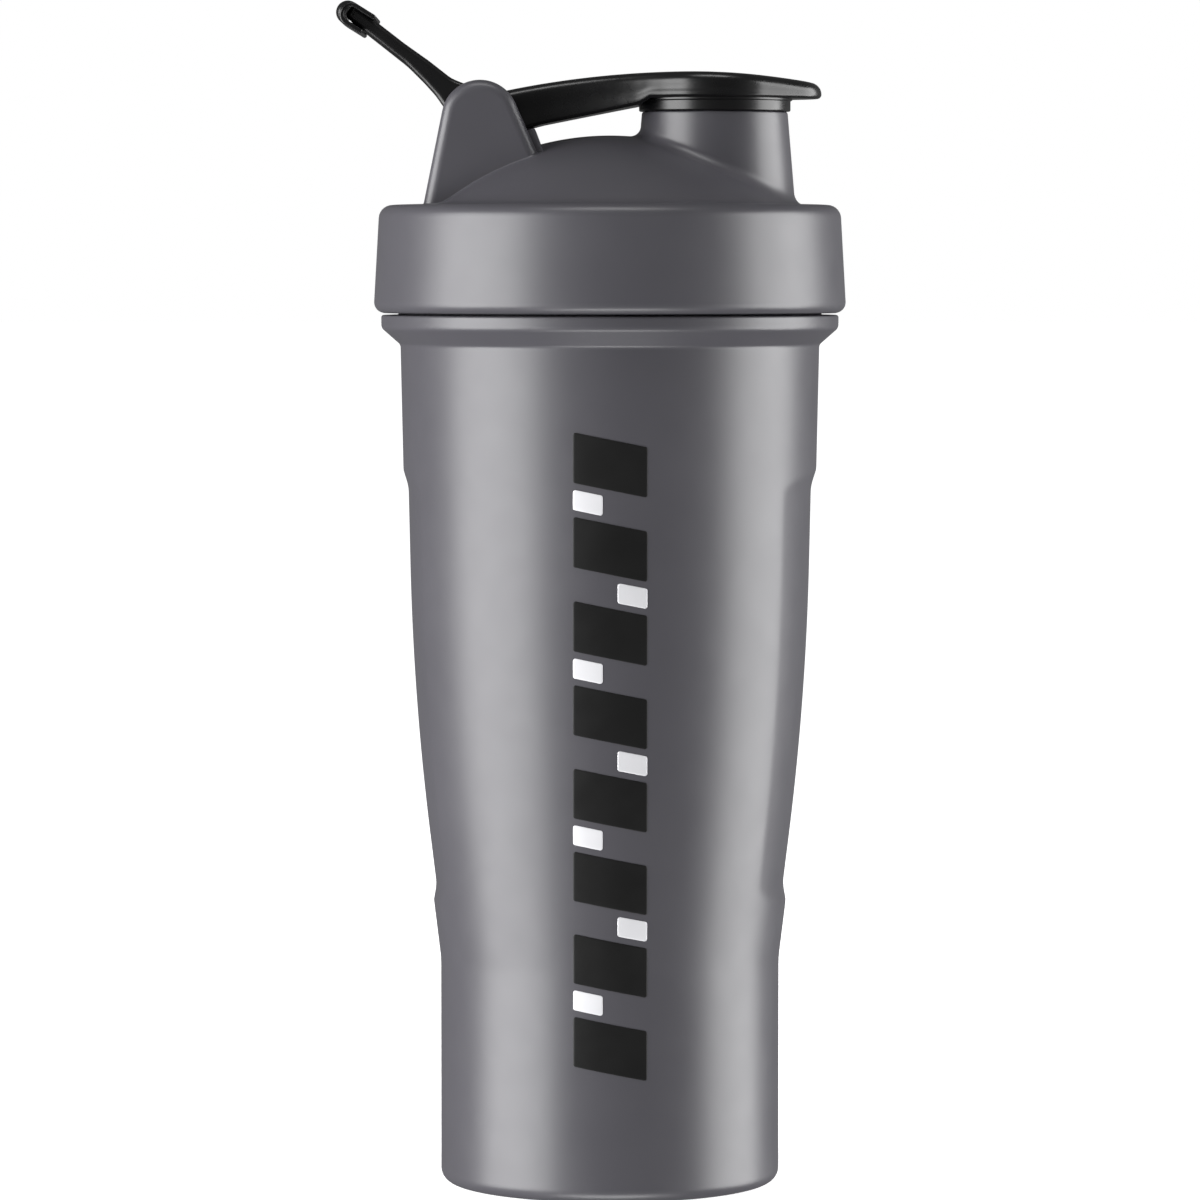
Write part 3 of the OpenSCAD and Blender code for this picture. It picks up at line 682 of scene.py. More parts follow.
def thread_heights():
    """Heights where the neck's and the lid's ridges start, the lid's under the neck's with the play between,
    and the angle where the lid's start."""
    thread = values("thread")
    neck = cup_high[2] - thread.below_rim - thread.root / 2 - thread.lead * thread.neck_wrap / (2 * math.pi)
    meeting = thread.root - (thread.root - thread.crest) * (thread.height + thread.gap) / (2 * thread.height)
    start = (thread.neck_wrap - thread.lid_wrap) / 2
    return neck, neck + thread.lead * start / (2 * math.pi) - meeting - thread.play, start


def thread_pair(radius, wrap, side):
    """The two ridges of the neck, where side is 1, or of the skirt, where side is -1, as open grids."""
    neck, lid, start = thread_heights()
    low, first = (neck, 0) if side == 1 else (lid, start)
    return [(ridge(radius, low, wrap, first + half_turn, side), False) for half_turn in (0, math.pi)]


# ---- The lid ----

def dome(x, y, inner=False):
    """Height of the lid's top: the larger of a sphere and the flat shoulder, with a soft line between them.
    Inside, the sphere and the ceiling lie one thickness lower."""
    lid, at = values("lid"), heights()
    radius = lid.dome_radius - (lid.thickness if inner else 0)
    centre = at.shoulder + lid.dome_height - lid.dome_radius
    sphere = centre + np.sqrt(np.clip(radius ** 2 - x ** 2 - y ** 2, 0, None))
    return soft_max(sphere, np.full_like(sphere, at.ceiling if inner else at.shoulder), lid.dome_root)


def on_dome(flat, inner=False, above=0.0):
    """Points of a plan at the dome's height, or above it."""
    return level(flat, dome(flat[:, 0], flat[:, 1], inner) + above)


def spout_radius(z):
    """The spout's outside: a cone that widens slightly from the mouth down."""
    lid, at = values("lid"), heights()
    return lid.spout_radius + lid.spout_flare * (at.shoulder + lid.spout_height - z) / lid.spout_height


def lid_grid(columns=288):
    """The whole lid as one closed skin without its ears: in over the dome, up the spout, over its mouth, down
    its bore, out under the dome, round the plug ring, down inside the skirt and up its outside."""
    cup, lid, at = values("cup"), values("lid"), heights()
    a = np.arange(columns) * 2 * math.pi / columns
    circle = np.stack([np.cos(a), np.sin(a)], -1)
    centre = np.array([lid.spout_from_axis, 0.0])
    mouth = at.shoulder + lid.spout_height
    bore, root, bore_edge = lid.spout_radius - lid.spout_wall, lid.spout_root, 0.8
    skirt, low = lid_high[1], lid_low[2]
    shoulder, inside = skirt - lid.lean, skirt - lid.skirt
    shoulder_in = shoulder - lid.shoulder_edge
    plug_out = cup_high[0] - cup.ledge - cup.neck_wall - lid.plug_gap
    plug_in, plug_low = plug_out - lid.plug, at.ceiling - lid.plug_height

    def plan(radius):
        """A ring round the spout's axis, in plan."""
        return centre + circle * np.broadcast_to(radius, a.shape)[:, None]

    def spread(start, end, shares, inner=False):
        """Rows on the dome between two rings."""
        return [on_dome(start * (1 - s) + end * s, inner) for s in shares]

    fillet = []
    for t in quarter(9)[::-1]:
        grow = root * (1 - math.cos(t))
        r = lid.spout_radius + lid.spout_flare / 2
        for _ in range(4):
            foot = on_dome(plan(r + grow))[:, 2]
            r = spout_radius(foot + root)
        fillet.append(level(plan(r + grow), foot + root * (1 - math.sin(t))))
    top = spread(circle * (shoulder_in - 0.4), fillet[0][:, :2], np.linspace(0, 1, 44)[:-1])
    base = fillet[-1][:, 2]
    heights_up = [base + (mouth - 1.2 - base) * s for s in np.linspace(0.03, 1, 12)]
    wall = [level(plan(spout_radius(z)), z) for z in heights_up]
    lip = [level(plan(r), z) for r, z in rounded([
        (spout_radius(mouth - 1), mouth - 1), (lid.spout_radius, mouth, 0.45), (bore, mouth, 0.7),
        (bore, mouth - 2)], steps=5)]
    high, deep = mouth - 2.4, on_dome(plan(bore), True, 1.2)[:, 2]
    bore_rows = [level(plan(bore), high + (deep - high) * s) for s in np.linspace(0, 1, 6)]
    edge = [on_dome(plan(bore + bore_edge * (1 - math.cos(t))), True, bore_edge * (1 - math.sin(t)))
            for t in quarter(4)]
    under = spread(edge[-1][:, :2], circle * (plug_in - 0.9), np.linspace(0, 1, 24)[1:], True)
    rest = rounded([(plug_in - 0.8, at.ceiling), (plug_in, at.ceiling, 0.4), (plug_in, plug_low, 0.5),
                    (plug_out, plug_low, 0.7), (plug_out, at.ceiling, 0.4), (inside, at.ceiling, 0.4),
                    (inside, low + 0.6, 0.5), (inside + 0.6, low, 0.3), (skirt, low, lid.lower_edge),
                    (shoulder, at.shoulder, lid.shoulder_edge), (shoulder_in - 0.2, at.shoulder)], steps=7)
    return np.concatenate([np.stack(top + fillet + wall + lip + bore_rows + edge + under),
                           lathe(dense(rest, 4.0), columns)])


def ear_edges(z):
    """Where an ear's back and front edge stand at a height, as straight lines that touch its round top."""
    ear = values("ears")
    back = hinge[0] - ear.radius / math.cos(ear.back_lean) - (hinge[2] - z) * math.tan(ear.back_lean)
    front = hinge[0] + ear.radius / math.cos(ear.front_lean) + (hinge[2] - z) * math.tan(ear.front_lean)
    return back, front


def ear_foot(y, sunk):
    """Heights at which the back and front edge of an ear are sunk in the dome, found by halving the error."""
    z = np.full(2, hinge[2] - 6.0)
    for _ in range(40):
        x = np.array([edge[i] for i, edge in enumerate(ear_edges(z))])
        z = z - 0.5 * (z - dome(x, np.full(2, y)) + sunk)
    return z


def ear_grid(side):
    """An ear: a plate with a round top, two leaning edges and a foot that follows the dome in its wall."""
    ear = values("ears")
    sunk, steps = 1.1, 12
    deep = sunk + ear.outer_edge + 0.2
    y = side * (ear.width - ear.thickness) / 2
    back_z, front_z = ear_foot(y, deep)
    hub = hinge[[0, 2]]
    top = arc(hub, ear.radius, math.degrees(ear.front_lean), 180 - math.degrees(ear.back_lean), 40)
    up, down = np.linspace(front_z, top[0, 1], steps + 1)[:-1], np.linspace(top[-1, 1], back_z, steps + 1)[1:]
    front, back = level(ear_edges(up)[1], up), level(ear_edges(down)[0], down)
    x = np.linspace(back[-1, 0], front[0, 0], 24)[1:-1]
    foot = level(x, dome(x, np.full_like(x, y)) - deep)
    outline = np.concatenate([front, top, back, foot])
    low = foot[len(foot) // 2]
    stem = low + (hub - low) * np.linspace(0, 1, steps + 1)[:-1, None]
    spine = np.concatenate([stem, np.repeat(hub[None], len(top), 0), stem[::-1],
                            np.repeat(low[None], len(foot), 0)])
    section = edge_section(ear.thickness, ear.outer_edge, ear.inner_edge)
    plate = slab(outline, outward(outline), spine, section, fill=4)
    x, z = plate[..., 0], plate[..., 1]
    y = side * (ear.width / 2 - plate[..., 2])
    return np.stack([x, y, np.maximum(z, dome(x, y) - sunk)], -1)


def ear_root(side):
    """The fillet round an ear's foot: rows step outwards from the ear's edge, and their height above the dome
    falls along a quarter circle. It closes on itself under the dome's surface."""
    ear = values("ears")
    y_out, y_in, inward, under = ear.width / 2, ear.width / 2 - ear.thickness, 0.12, 0.012
    back, front = ear_edges(hinge[2] - 10)
    corners = [(back, y_in, ear.inner_edge), (front, y_in, ear.inner_edge),
               (front, y_out, ear.outer_edge), (back, y_out, ear.outer_edge)]
    loop = dense(rounded(corners, closed=True), 1.0, closed=True)
    normal = outward(loop)
    along = (loop[:, 0] - back) / (front - back)
    x = loop[:, 0]
    for _ in range(30):
        z = dome(x, side * loop[:, 1])
        low, high = ear_edges(z + ear.root / 2)
        x = 0.5 * x + 0.5 * (low + (high - low) * along)
    rows = [(ear.root * (1 - math.cos(t)) - inward * (1 - t), ear.root * (1 - math.sin(t)) - under)
            for t in quarter(7)] + [(ear.root, -0.5), (-0.4, -0.5)]
    plan = np.column_stack([x, loop[:, 1]])
    return np.stack([on_dome((plan + normal * grow) * [1, side], above=height) for grow, height in rows])


def under_head():
    """Height of the flat under the cap's head."""
    return heights().shoulder + values("lid").spout_height + values("cap").skirt_height


def under_start():
    """Where the line under the cap's arm starts, beside the barrel."""
    return hinge[0] + values("cap").barrel + 5.6


def arm_under(x):
    """The straight line under the cap's arm, from beside the barrel to the ring on the spout."""
    lid = values("lid")
    low = (under_start(), hinge[2] - 1.4)
    high = (lid.spout_from_axis - lid.spout_radius - 0.2, under_head() - 1.3)
    return low[1] + (x - low[0]) * (high[1] - low[1]) / (high[0] - low[0])


def bridge_grid():
    """The bridge between the ears: a leaning strip along their front edge, just clear of the cap's arm."""
    ear = values("ears")
    high_z, low_z = hinge[2] - 3, hinge[2] - 9.5
    high, low = (ear_edges(z)[1] - 1.4 + np.array([0, ear.bridge]) for z in (high_z, low_z))
    under = cap_levels(high)[0] - CLEAR
    outline = rounded([(high[0], under[0], 0.4), (low[0], low_z, 0.2), (low[1], low_z, 0.2),
                       (high[1], under[1], 0.4)], closed=True, steps=4)
    half = (ear.width - ear.thickness) / 2
    path = np.linspace(-half, half, 12)[:, None] * [0.0, 1.0, 0.0]
    across, up = (np.broadcast_to(axis, path.shape) for axis in ([1.0, 0.0, 0.0], [0.0, 0.0, 1.0]))
    return carried(path, across, up, np.broadcast_to(outline, (len(path), *outline.shape)))


# ---- The cap, the seals and the loop ----

def cap_outline():
    """The cap from above: half of it is the tab's arc, a straight side, the head's arc, a hollow arc that
    blends into the arm, and the arm's side. The other half is its mirror image."""
    cap, lid = values("cap"), values("lid")
    head, tab_x = lid.spout_from_axis, cap_high[0] - cap.tab
    half, corner = cap.arm_width / 2, 0.6
    lean = math.degrees(math.acos((cap.head - cap.tab) / (tab_x - head)))
    blend_y = half + cap.blend
    blend_x = head - math.sqrt((cap.head + cap.blend) ** 2 - blend_y ** 2)
    meet = math.degrees(math.atan2(blend_y, blend_x - head))
    tab = arc((tab_x, 0), cap.tab, 0, lean, 14)
    top = arc((head, 0), cap.head, lean, meet, 26)
    hollow = arc((blend_x, blend_y), cap.blend, meet - 180, -90, 8)
    arm = np.array([(hinge[0] + corner, half), (hinge[0], half - corner)])
    right = dense(np.concatenate([tab, top, hollow[1:], arm]), 1.2)
    left = right[::-1][:-1] * [1, -1]
    end = dense(np.array([right[-1], left[0]]), 1.2)[1:-1]
    return np.concatenate([right, end, left])


def cap_levels(x):
    """Heights of the cap's underside and top at a distance along it: the barrel's circle, two straight lines
    and the flat under the head; and the barrel's circle blended into the long arc."""
    cap, lid = values("cap"), values("lid")
    steepness, under_barrel, proud = 0.402, 0.373, 0.05
    from_hinge = x - hinge[0]
    circle = np.sqrt(np.clip(cap.barrel ** 2 - from_hinge ** 2, 0, None))
    start = under_start()
    steep = arm_under(start) + steepness * (x - start)
    under = soft_min(steep, arm_under(x), 0.5)
    under = np.where(from_hinge < cap.barrel * under_barrel, hinge[2] - circle + proud, under)
    edge = lid.spout_from_axis - lid.spout_radius
    under = under + (under_head() - under) * soft_step(x, edge - 0.4, edge + 2.0)
    crown = cap_high[2] - cap.crown + np.sqrt(cap.crown ** 2 - (x - cap.crown_from_axis) ** 2)
    return under, soft_max(crown, hinge[2] + circle - proud, 0.8)


def cap_grid():
    """The arm, head and tab: the outline's rows run from the middle of the underside out, up the side and
    back over the top. Rows are (inset, share of the side's height, rise from there); each height follows the
    cap's underside or top at its place. The side's shallow dish fades where the side is low."""
    cap = values("cap")
    outline = cap_outline()
    normals = outward(outline)
    spine = level(np.clip(outline[:, 0], hinge[0], cap_high[0] - cap.tab), 0.0)
    low, high = cap.lower_edge, cap.upper_edge
    rows = [(low + 0.3, 0, 0)]
    rows += [(low * (1 - math.sin(t)), 0, low * (1 - math.cos(t))) for t in quarter(6)]
    rows += [(cap.dish * math.sin(math.pi * s) ** 2, s, 0) for s in np.linspace(0, 1, 7)[1:-1]]
    rows += [(high * (1 - math.cos(t)), 1, high * (1 - math.sin(t))) for t in quarter(6)]
    rows += [(high + 0.3, 1, 0)]
    grid = []
    for inset, part, rise in rows:
        flat = outline - normals * inset
        under, top = cap_levels(flat[:, 0])
        z = under + rise if part == 0 else top - rise
        if 0 < part < 1:
            side = top - high - under - low
            flat = flat + normals * (inset * (1 - soft_step(side, 0.5, 3.5)))[:, None]
            z = under + low + side * part
        grid.append(level(flat, z))
    faces = []
    for row, which in ((grid[0], 0), (grid[-1], 1)):
        flats = [spine + (row[:, :2] - spine) * s for s in (0, 0.25, 0.5, 0.75)]
        faces.append([level(flat, cap_levels(flat[:, 0])[which]) for flat in flats])
    return np.stack(faces[0] + grid + faces[1][::-1])


def on_hinge(profile, columns):
    """A profile (radius, place along the hinge) turned about the hinge's axis."""
    turned = lathe(profile, columns)
    return np.stack([hinge[0] + turned[..., 0], turned[..., 2], hinge[2] + turned[..., 1]], -1)


def barrel_grid():
    """The barrel and its two pins, turned about the hinge."""
    cap, ear = values("cap"), values("ears")
    half, tip = cap.arm_width / 2, ear.width / 2 - ear.thickness + cap.pin_in
    line = rounded([(0, -tip), (cap.pin, -tip, 0.3), (cap.pin, -half, 0.2), (cap.barrel, -half, 0.6),
                    (cap.barrel, half, 0.6), (cap.pin, half, 0.2), (cap.pin, tip, 0.3), (0, tip)])
    return on_hinge(line, 72)


def ring_grids():
    """The ring under the head, with a fine bead where it meets the head, and the post that holds the seal."""
    cap, lid = values("cap"), values("lid")
    under = under_head()
    low, high, out, bead = under - cap.skirt_height + 0.1, under + 0.4, cap.ring, cap.ring + 0.35
    ring = rounded([(out - cap.skirt, low, 0.3), (out, low, 0.3), (out, under - 0.5, 0.15),
                    (bead, under - 0.35, 0.1), (bead, high), (out - cap.skirt, high)], closed=True, steps=4)
    post, foot, flange = seal_high[1] - cap.seal_wall, seal_low[2] - 0.05, 0.6
    stem = rounded([(0, foot), (post + flange, foot, 0.3), (post + flange, foot + 0.85, 0.2),
                    (post, foot + 1.15, 0.2), (post, under + 0.3), (0, under + 0.3)], steps=4)
    centre = (lid.spout_from_axis, 0.0)
    return lathe(ring, 160, centre), lathe(stem, 128, centre)


def seal_grid():
    """The spout seal: a ribbed ring with a rounded lower lip, turned about the spout's axis. Between ribs its
    radius falls by half the rib's height times 1 less the cosine of the angle up the seal."""
    cap, lid = values("cap"), values("lid")
    out, low, high = seal_high[1], seal_low[2], seal_high[2]
    rib_pitch, lip, play = 1.25, 1.0, 0.05
    post = out - cap.seal_wall + play
    z = np.linspace(low + lip, high - 0.5, 26)
    side = level(out - cap.seal_rib * (1 - np.cos(2 * math.pi * (z - z[0]) / rib_pitch)) / 2, z)
    inner = [(post, high), (post, low + 1.15), (post + 0.6, low + 0.8), (post + 0.6, low)]
    bend = arc((out - lip, low + lip), lip, -90, 0, 6)[:-1]
    line = np.concatenate([inner, bend, side, [(out - 0.5, high)]])
    return lathe(line, 160, (lid.spout_from_axis, 0.0))


def gasket_grid():
    """The lid gasket: a flat ring with soft edges."""
    out, low, high = gasket_high[0], gasket_low[2], gasket_high[2]
    cup, soft = values("cup"), 0.35
    inside = cup_high[0] - cup.ledge - cup.neck_wall - 0.1
    corners = [(r, z, soft) for r, z in ((inside, low), (out, low), (out, high), (inside, high))]
    return lathe(rounded(corners, closed=True), 192)


def on_loop(u, w, y):
    """A place on the loop: u along it from the hinge and w square to it, turned up by the loop's angle."""
    angle = values("loop").angle
    x = hinge[0] - u * math.cos(angle) + w * math.sin(angle)
    z = hinge[2] + u * math.sin(angle) + w * math.cos(angle)
    return np.stack([x, y, z], -1)


def arm_grid(side):
    """An arm of the loop: a plate that tapers from its eyelet to the finger bar, with rounded edges."""
    loop = values("loop")
    end = loop.reach - 2.2
    eyelet = arc((0, 0), loop.eyelet, 62, 302, 30)
    # Corners (distance from the hinge, height, radius) of the arm's lower and upper side
    lower = [(7.4, -2.75, 6), (10.0, -1.95, 9), (13.7, -1.3, 16), (19, -0.65, 20), (end, -0.6, 1.2)]
    upper = [(end, 2.5, 1.2), (21.6, 2.57, 30), (15.5, 2.86, 20), (9.7, 2.86, 6), (6.8, 3.7, 4)]
    edge = rounded([tuple(eyelet[-1]), *lower, *upper, tuple(eyelet[0])], steps=10, support=0.4)
    outline = dense(np.concatenate([eyelet, edge[1:-1]]), 0.9, closed=True)
    u = np.clip(outline[:, 0], 0, end - 1.5)
    spine = np.column_stack([u, np.interp(u, [0, 8, 20, end], [0, 0.25, 0.98, 0.95])])
    plate = slab(outline, outward(outline), spine, edge_section(loop.arm, loop.edge, loop.edge, 5), fill=2)
    return on_loop(plate[..., 0], plate[..., 1], side * (loop.arm_in + plate[..., 2]))


def bar_grid():
    """The finger bar: a channel whose wall follows two legs and a half circle, carried across the loop.
    Towards its ends it draws back along the corner's arc, and the wall thins along a small quarter circle."""
    loop = values("loop")
    outer, half, edge, lift = loop.bar_height / 2, loop.bar_lip / 2, 0.3, 0.45
    mid = outer - half
    nose, leg = loop.reach - outer, loop.reach - loop.bar_depth
    centre = np.concatenate([level(np.linspace(leg + loop.bar_short, nose, 6)[:-1], -mid),
                             arc((nose, 0), mid, -90, 90, 16), level(np.linspace(nose, leg, 6)[1:], mid)])
    along = np.gradient(centre, axis=0)
    along /= np.linalg.norm(along, axis=1, keepdims=True)
    normal = np.column_stack([along[:, 1], -along[:, 0]])
    turned = np.radians(np.linspace(90, -90, 7))[1:-1, None]
    start = centre[0] + half * (np.cos(turned) * -along[0] - np.sin(turned) * normal[0])
    end = centre[-1] + half * (np.cos(turned) * along[-1] + np.sin(turned) * normal[-1])
    skin = np.concatenate([centre + half * normal, end, (centre - half * normal)[::-1], start])
    core = np.concatenate([centre, np.repeat(centre[-1:], len(end), 0), centre[::-1],
                           np.repeat(centre[:1], len(start), 0)])
    w = loop.bar_width / 2
    straight = w - loop.bar_corner
    corner = straight + loop.bar_corner * np.sin(quarter(8))
    across = np.concatenate([np.linspace(0, straight, 8)[:-1], corner[corner < w - edge], [w - edge]])
    past = np.clip(across - straight, 0, None)
    drawn = loop.bar_corner - np.sqrt(np.clip(loop.bar_corner ** 2 - past ** 2, 0, None))
    share_on = np.clip((skin[:, 0] - leg) / loop.bar_depth, 0, 1)
    places = [*[(y, back, 0.0) for y, back in zip(across, drawn)],
              *[(w - edge + edge * math.sin(t), drawn[-1], edge * (1 - math.cos(t))) for t in quarter(3)[1:]],
              (w, drawn[-1], half)]
    rows = []
    for y, back, thin in places:
        shrunk = core + (skin - core) * (1 - min(thin / half, 1))
        x, z = shrunk[:, 0] - back * share_on - nose, shrunk[:, 1]
        u = nose + x * math.cos(loop.bar_tilt) + z * math.sin(loop.bar_tilt)
        v = lift - x * math.sin(loop.bar_tilt) + z * math.cos(loop.bar_tilt)
        rows.append(on_loop(u, v, np.full_like(u, y)))
    half_bar = np.stack(rows)
    return np.concatenate([(half_bar * [1, -1, 1])[::-1], half_bar[1:]])


def coil_grid():
    """The whisk ball: a wire carried along a curve that climbs from pole to pole at an even rate while it
    turns. Distance from the axis and height are the ball's radius times the climb's cosine and sine."""
    ball = values("ball")
    radius = (ball_high[0] - ball_low[0]) / 2 - ball.wire
    centre = np.array([0, 0, (ball_low[2] + ball_high[2]) / 2])
    steps_per_turn, highest, end_size = 72, math.radians(86), 0.55
    s = np.linspace(-1, 1, steps_per_turn * ball.turns)
    climb = s * highest
    a = math.pi * ball.turns * s
    flat = np.cos(climb)
    path = centre + radius * np.column_stack([flat * np.cos(a), flat * np.sin(a), np.sin(climb)])
    along = np.gradient(path, axis=0)
    along /= np.linalg.norm(along, axis=1, keepdims=True)
    out = (path - centre) / np.linalg.norm(path - centre, axis=1, keepdims=True)
    beside = np.cross(along, out)
    section = arc((0, 0), ball.wire, 0, 360, 12)[:-1]
    ends = np.ones(len(s))
    ends[[0, -1]] = end_size
    return carried(path, out, beside, section * ends[:, None, None])


# ---- The print ----

def bar_shape(x0, x1, low, height):
    """A slanted bar's outline: its ends are upright, and its long sides rise to the left."""
    look = values("print")
    width = print_high[0] - print_low[0]
    corners = [(x, z + look.slant * (0.5 - x / width), look.corner)
               for x, z in ((x0, low), (x1, low), (x1, low + height), (x0, low + height))]
    return dense(rounded(corners, closed=True, steps=4), 0.7, closed=True)


def printed(outline):
    """A bar of ink on the cup: its points lie on the cup's skin, and their height above it is the ink's
    thickness inside the edge and a little under the skin round it."""
    ink = values("print").ink
    middle = outline.mean(0)
    slope = np.polyfit(outline[:, 0], outline[:, 1], 1)[0]
    wide, tall = np.ptp(outline, axis=0)
    half = wide / 2 - tall / 4
    off = np.clip(outline[:, 0] - middle[0], -half, half)
    spine = np.column_stack([middle[0] + off, middle[1] + slope * off])
    inset, sunk = 0.4, -0.3
    section = [(inset, sunk), (0, sunk), (0, 0.4 * ink), (0.04, 0.85 * ink), (0.1, ink), (inset, ink)]
    plate = slab(outline, outward(outline), spine, section, fill=6)
    x, z = plate[..., 0], plate[..., 1]
    radius = cup_radius(z) + plate[..., 2]
    return np.stack([x, -np.sqrt(radius ** 2 - x ** 2), z], -1)


# ---- Operators ----

class ShakerOperator:
    """What the operators share."""
    bl_options = {"REGISTER", "UNDO"}


class SHAKER_OT_cup(ShakerOperator, bpy.types.Operator):
    """Builds the cup with its grips, collar and threaded neck"""
    bl_idname = "shaker.cup"
    bl_label = "Cup"

    def execute(self, context):
        ridges = thread_pair(cup_high[0] - values("cup").ledge, values("thread").neck_wrap, 1)
        piece("cup", [(cup_grid(), False), *ridges], "cup", "grey_plastic", ["bottle"])
        return {"FINISHED"}


class SHAKER_OT_lid(ShakerOperator, bpy.types.Operator):
    """Builds the lid with its dome, spout, thread, ears and bridge"""
    bl_idname = "shaker.lid"
    bl_label = "Lid"

    def execute(self, context):
        ridges = thread_pair(lid_high[1] - values("lid").skirt, values("thread").lid_wrap, -1)
        piece("screw_lid", [(lid_grid(), True), *ridges], "lid", "grey_plastic", ["lid"])
        ears = [(ear_grid(side), False) for side in (-1, 1)] + [(ear_root(side), True) for side in (-1, 1)]
        piece("hinge_ears", [*ears, (bridge_grid(), False)], "lid", "grey_plastic")
        return {"FINISHED"}


class SHAKER_OT_cap(ShakerOperator, bpy.types.Operator):
    """Builds the flip cap with its barrel, pins, ring and post"""
    bl_idname = "shaker.cap"
    bl_label = "Flip cap"

    def execute(self, context):
        ring, post = ring_grids()
        grids = [(cap_grid(), False), (barrel_grid(), False), (ring, True), (post, False)]
        piece("cap", grids, "cap", "black_plastic", ["flip_cap"])
        return {"FINISHED"}


class SHAKER_OT_seals(ShakerOperator, bpy.types.Operator):
    """Builds the lid gasket and the spout seal"""
    bl_idname = "shaker.seals"
    bl_label = "Seals"

    def execute(self, context):
        piece("gasket_ring", [(gasket_grid(), True)], "gasket", "seal_silicone", ["lid_gasket"])
        piece("spout_plug", [(seal_grid(), True)], "cap", "seal_silicone", ["spout_seal"])
        return {"FINISHED"}


class SHAKER_OT_loop(ShakerOperator, bpy.types.Operator):
    """Builds the carry loop with its arms and finger bar"""
    bl_idname = "shaker.loop"
    bl_label = "Carry loop"

    def execute(self, context):
        grids = [(grid, False) for grid in (arm_grid(-1), arm_grid(1), bar_grid())]
        piece("finger_loop", grids, "loop", "black_plastic", ["carry_loop"])
        return {"FINISHED"}


class SHAKER_OT_ball(ShakerOperator, bpy.types.Operator):
    """Builds the whisk ball from one coiled wire"""
    bl_idname = "shaker.ball"
    bl_label = "Whisk ball"

    def execute(self, context):
        piece("wire_whisk", [(coil_grid(), False)], "ball", "ball_wire", ["whisk_ball"])
        return {"FINISHED"}


class SHAKER_OT_print(ShakerOperator, bpy.types.Operator):
    """Builds the two printed layers"""
    bl_idname = "shaker.print"
    bl_label = "Print"

    def execute(self, context):
        look = values("print")
        left, right, low = print_low[0], print_high[0], print_low[2]
        starts = [low + number * look.pitch for number in range(look.bars)]
        ends = [(left, left * look.silver_inner), (right * look.silver_inner, right)]
        black = [bar_shape(left, right, z, look.black_share * look.pitch) for z in starts]
        up, tall = look.silver_start * look.pitch, look.silver_share * look.pitch
        silver = [bar_shape(*ends[number % 2], z + up, tall) for number, z in enumerate(starts[:-1])]
        for name, shapes in (("black", black), ("silver", silver)):
            grids = [(printed(shape), False) for shape in shapes]
            piece(f"{name}_bars", grids, "cup", f"{name}_ink", [f"print_{name}"])
        return {"FINISHED"}


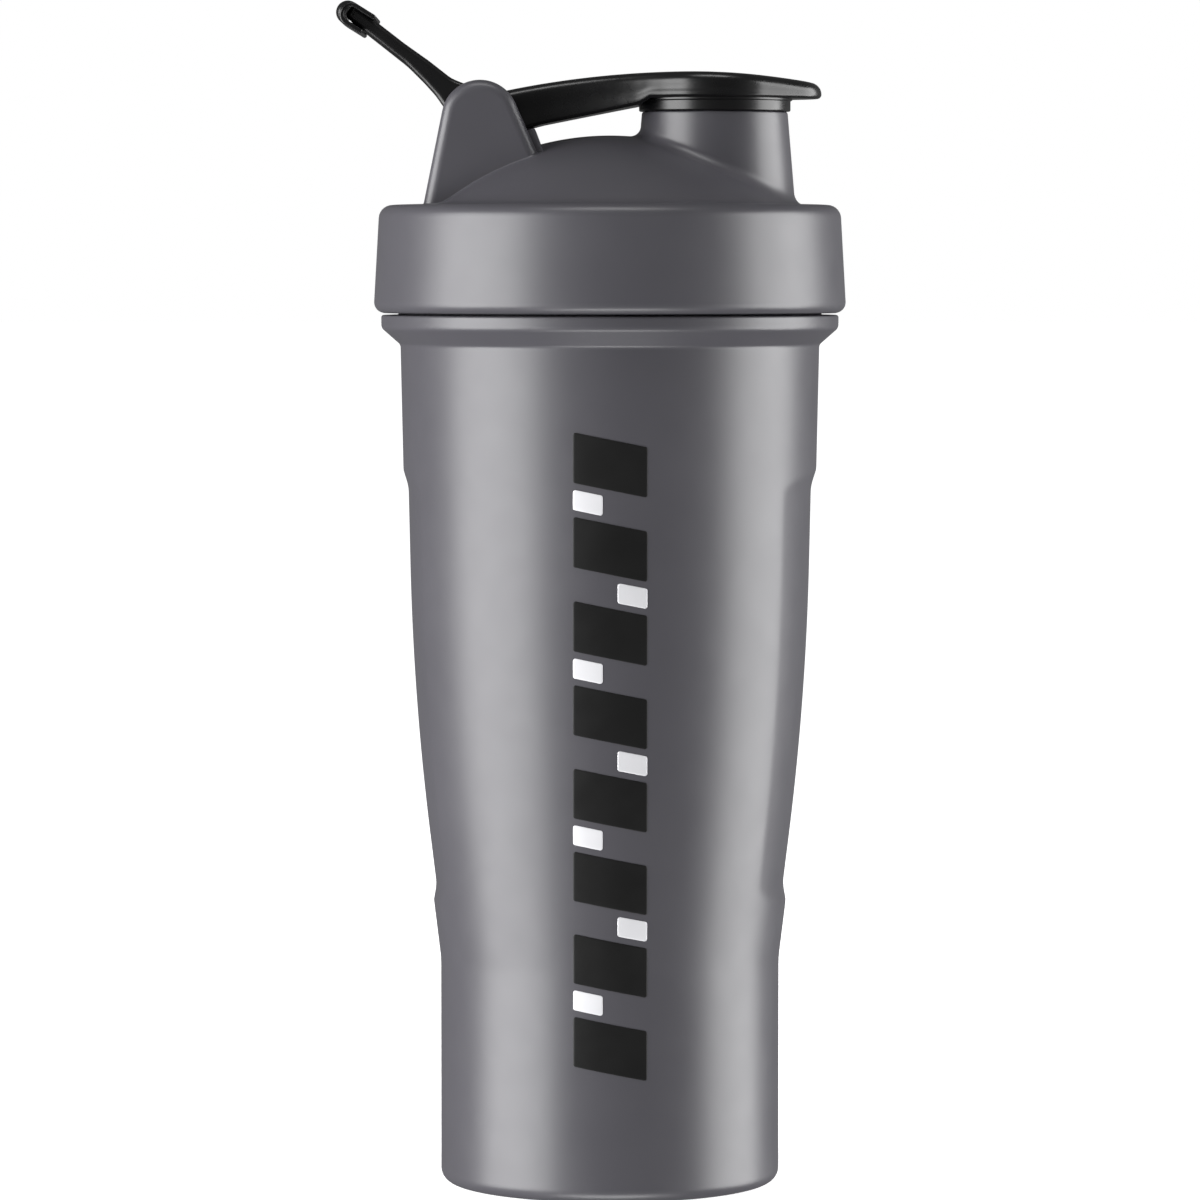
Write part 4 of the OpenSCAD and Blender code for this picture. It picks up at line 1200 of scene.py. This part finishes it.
class SHAKER_OT_stage(ShakerOperator, bpy.types.Operator):
    """Builds the floor, the lamps, the room's light and the camera"""
    bl_idname = "shaker.stage"
    bl_label = "Stage"

    def execute(self, context):
        studio, scene = values("studio"), context.scene
        half = studio.floor_size * MM / 2
        mesh = bpy.data.meshes.new("floor")
        corners = [(x * half, y * half, 0) for x, y in ((-1, -1), (1, -1), (1, 1), (-1, 1))]
        mesh.from_pydata(corners, [], [(0, 1, 2, 3)])
        mesh.materials.append(pale_floor(studio.floor_colour, studio.floor_glow))
        floor = placed("floor", mesh)
        floor.visible_diffuse = floor.visible_glossy = floor.visible_shadow = False
        lamps = {
            "left lamp": (-studio.left_angle, 0, studio.left_width, studio.left_power),
            "right lamp": (studio.right_angle, 0, studio.right_width, studio.right_power),
            "upper lamp": (0, studio.upper_angle, studio.upper_width, studio.upper_power),
            "lower lamp": (0, -studio.upper_angle, studio.upper_width, studio.lower_power),
        }
        for name, (angle, rise, width, power) in lamps.items():
            tall = rise == 0
            lamp = bpy.data.lights.new(name, "AREA")
            lamp.shape = "RECTANGLE"
            lamp.size, lamp.size_y = width * MM, (studio.lamp_height if tall else studio.upper_depth) * MM
            lamp.energy = power
            level_part = math.cos(rise)
            away = Vector((math.sin(angle) * level_part, -math.cos(angle) * level_part, math.sin(rise)))
            aim = studio.lamp_middle if tall else cad_bounds[1].z / MM
            holder = placed(name, lamp)
            holder.location = (away * studio.lamp_distance + Vector((0, 0, aim))) * MM
            holder.rotation_euler = (-away).to_track_quat("-Z", "Y").to_euler()
        world = bpy.data.worlds.new("room")
        world.use_nodes = True
        nodes, links = world.node_tree.nodes, world.node_tree.links
        light = nodes["Background"]
        light.inputs["Color"].default_value = (1, 1, 1, 1)
        ray = nodes.new("ShaderNodeLightPath")
        strength = nodes.new("ShaderNodeMapRange")
        strength.inputs["To Min"].default_value = studio.room
        strength.inputs["To Max"].default_value = studio.backdrop
        links.new(ray.outputs["Is Camera Ray"], strength.inputs["Value"])
        links.new(strength.outputs["Result"], light.inputs["Strength"])
        scene.world = world
        data = bpy.data.cameras.new("camera")
        data.sensor_width, data.lens, data.clip_end = studio.sensor, studio.focal, studio.clip_end
        scene.camera = placed("camera", data)
        scene.camera.location = studio.eye
        scene.camera.rotation_euler = (math.pi / 2 - studio.pitch, 0, 0)
        scene.view_settings.view_transform = "Standard"
        return {"FINISHED"}


OPERATORS = (SHAKER_OT_cup, SHAKER_OT_lid, SHAKER_OT_cap, SHAKER_OT_seals, SHAKER_OT_loop, SHAKER_OT_ball,
             SHAKER_OT_print, SHAKER_OT_stage)


class SHAKER_PT_panel(bpy.types.Panel):
    """Lists the pieces and their sizes"""
    bl_label = "Shaker bottle"
    bl_idname = "SHAKER_PT_panel"
    bl_space_type = "VIEW_3D"
    bl_region_type = "UI"
    bl_category = "Shaker"

    def draw(self, context):
        for operator in OPERATORS:
            self.layout.operator(operator.bl_idname)
        for name in GROUPS:
            box = self.layout.box()
            box.label(text=name.replace("_", " ").capitalize())
            group = getattr(context.scene, name)
            for prop in group.bl_rna.properties:
                if prop.identifier not in ("rna_type", "name"):
                    box.prop(group, prop.identifier)


def register():
    for name, group in GROUPS.items():
        bpy.utils.register_class(group)
        setattr(bpy.types.Scene, name, bpy.props.PointerProperty(type=group))
    for item in (*OPERATORS, SHAKER_PT_panel):
        bpy.utils.register_class(item)


def unregister():
    for item in (SHAKER_PT_panel, *reversed(OPERATORS)):
        bpy.utils.unregister_class(item)
    for name, group in reversed(GROUPS.items()):
        delattr(bpy.types.Scene, name)
        bpy.utils.unregister_class(group)


def main():
    """Registers the add-on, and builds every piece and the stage."""
    register()
    for operator in OPERATORS:
        group, name = operator.bl_idname.split(".")
        getattr(getattr(bpy.ops, group), name)()


if __name__ == "__main__":
    main()
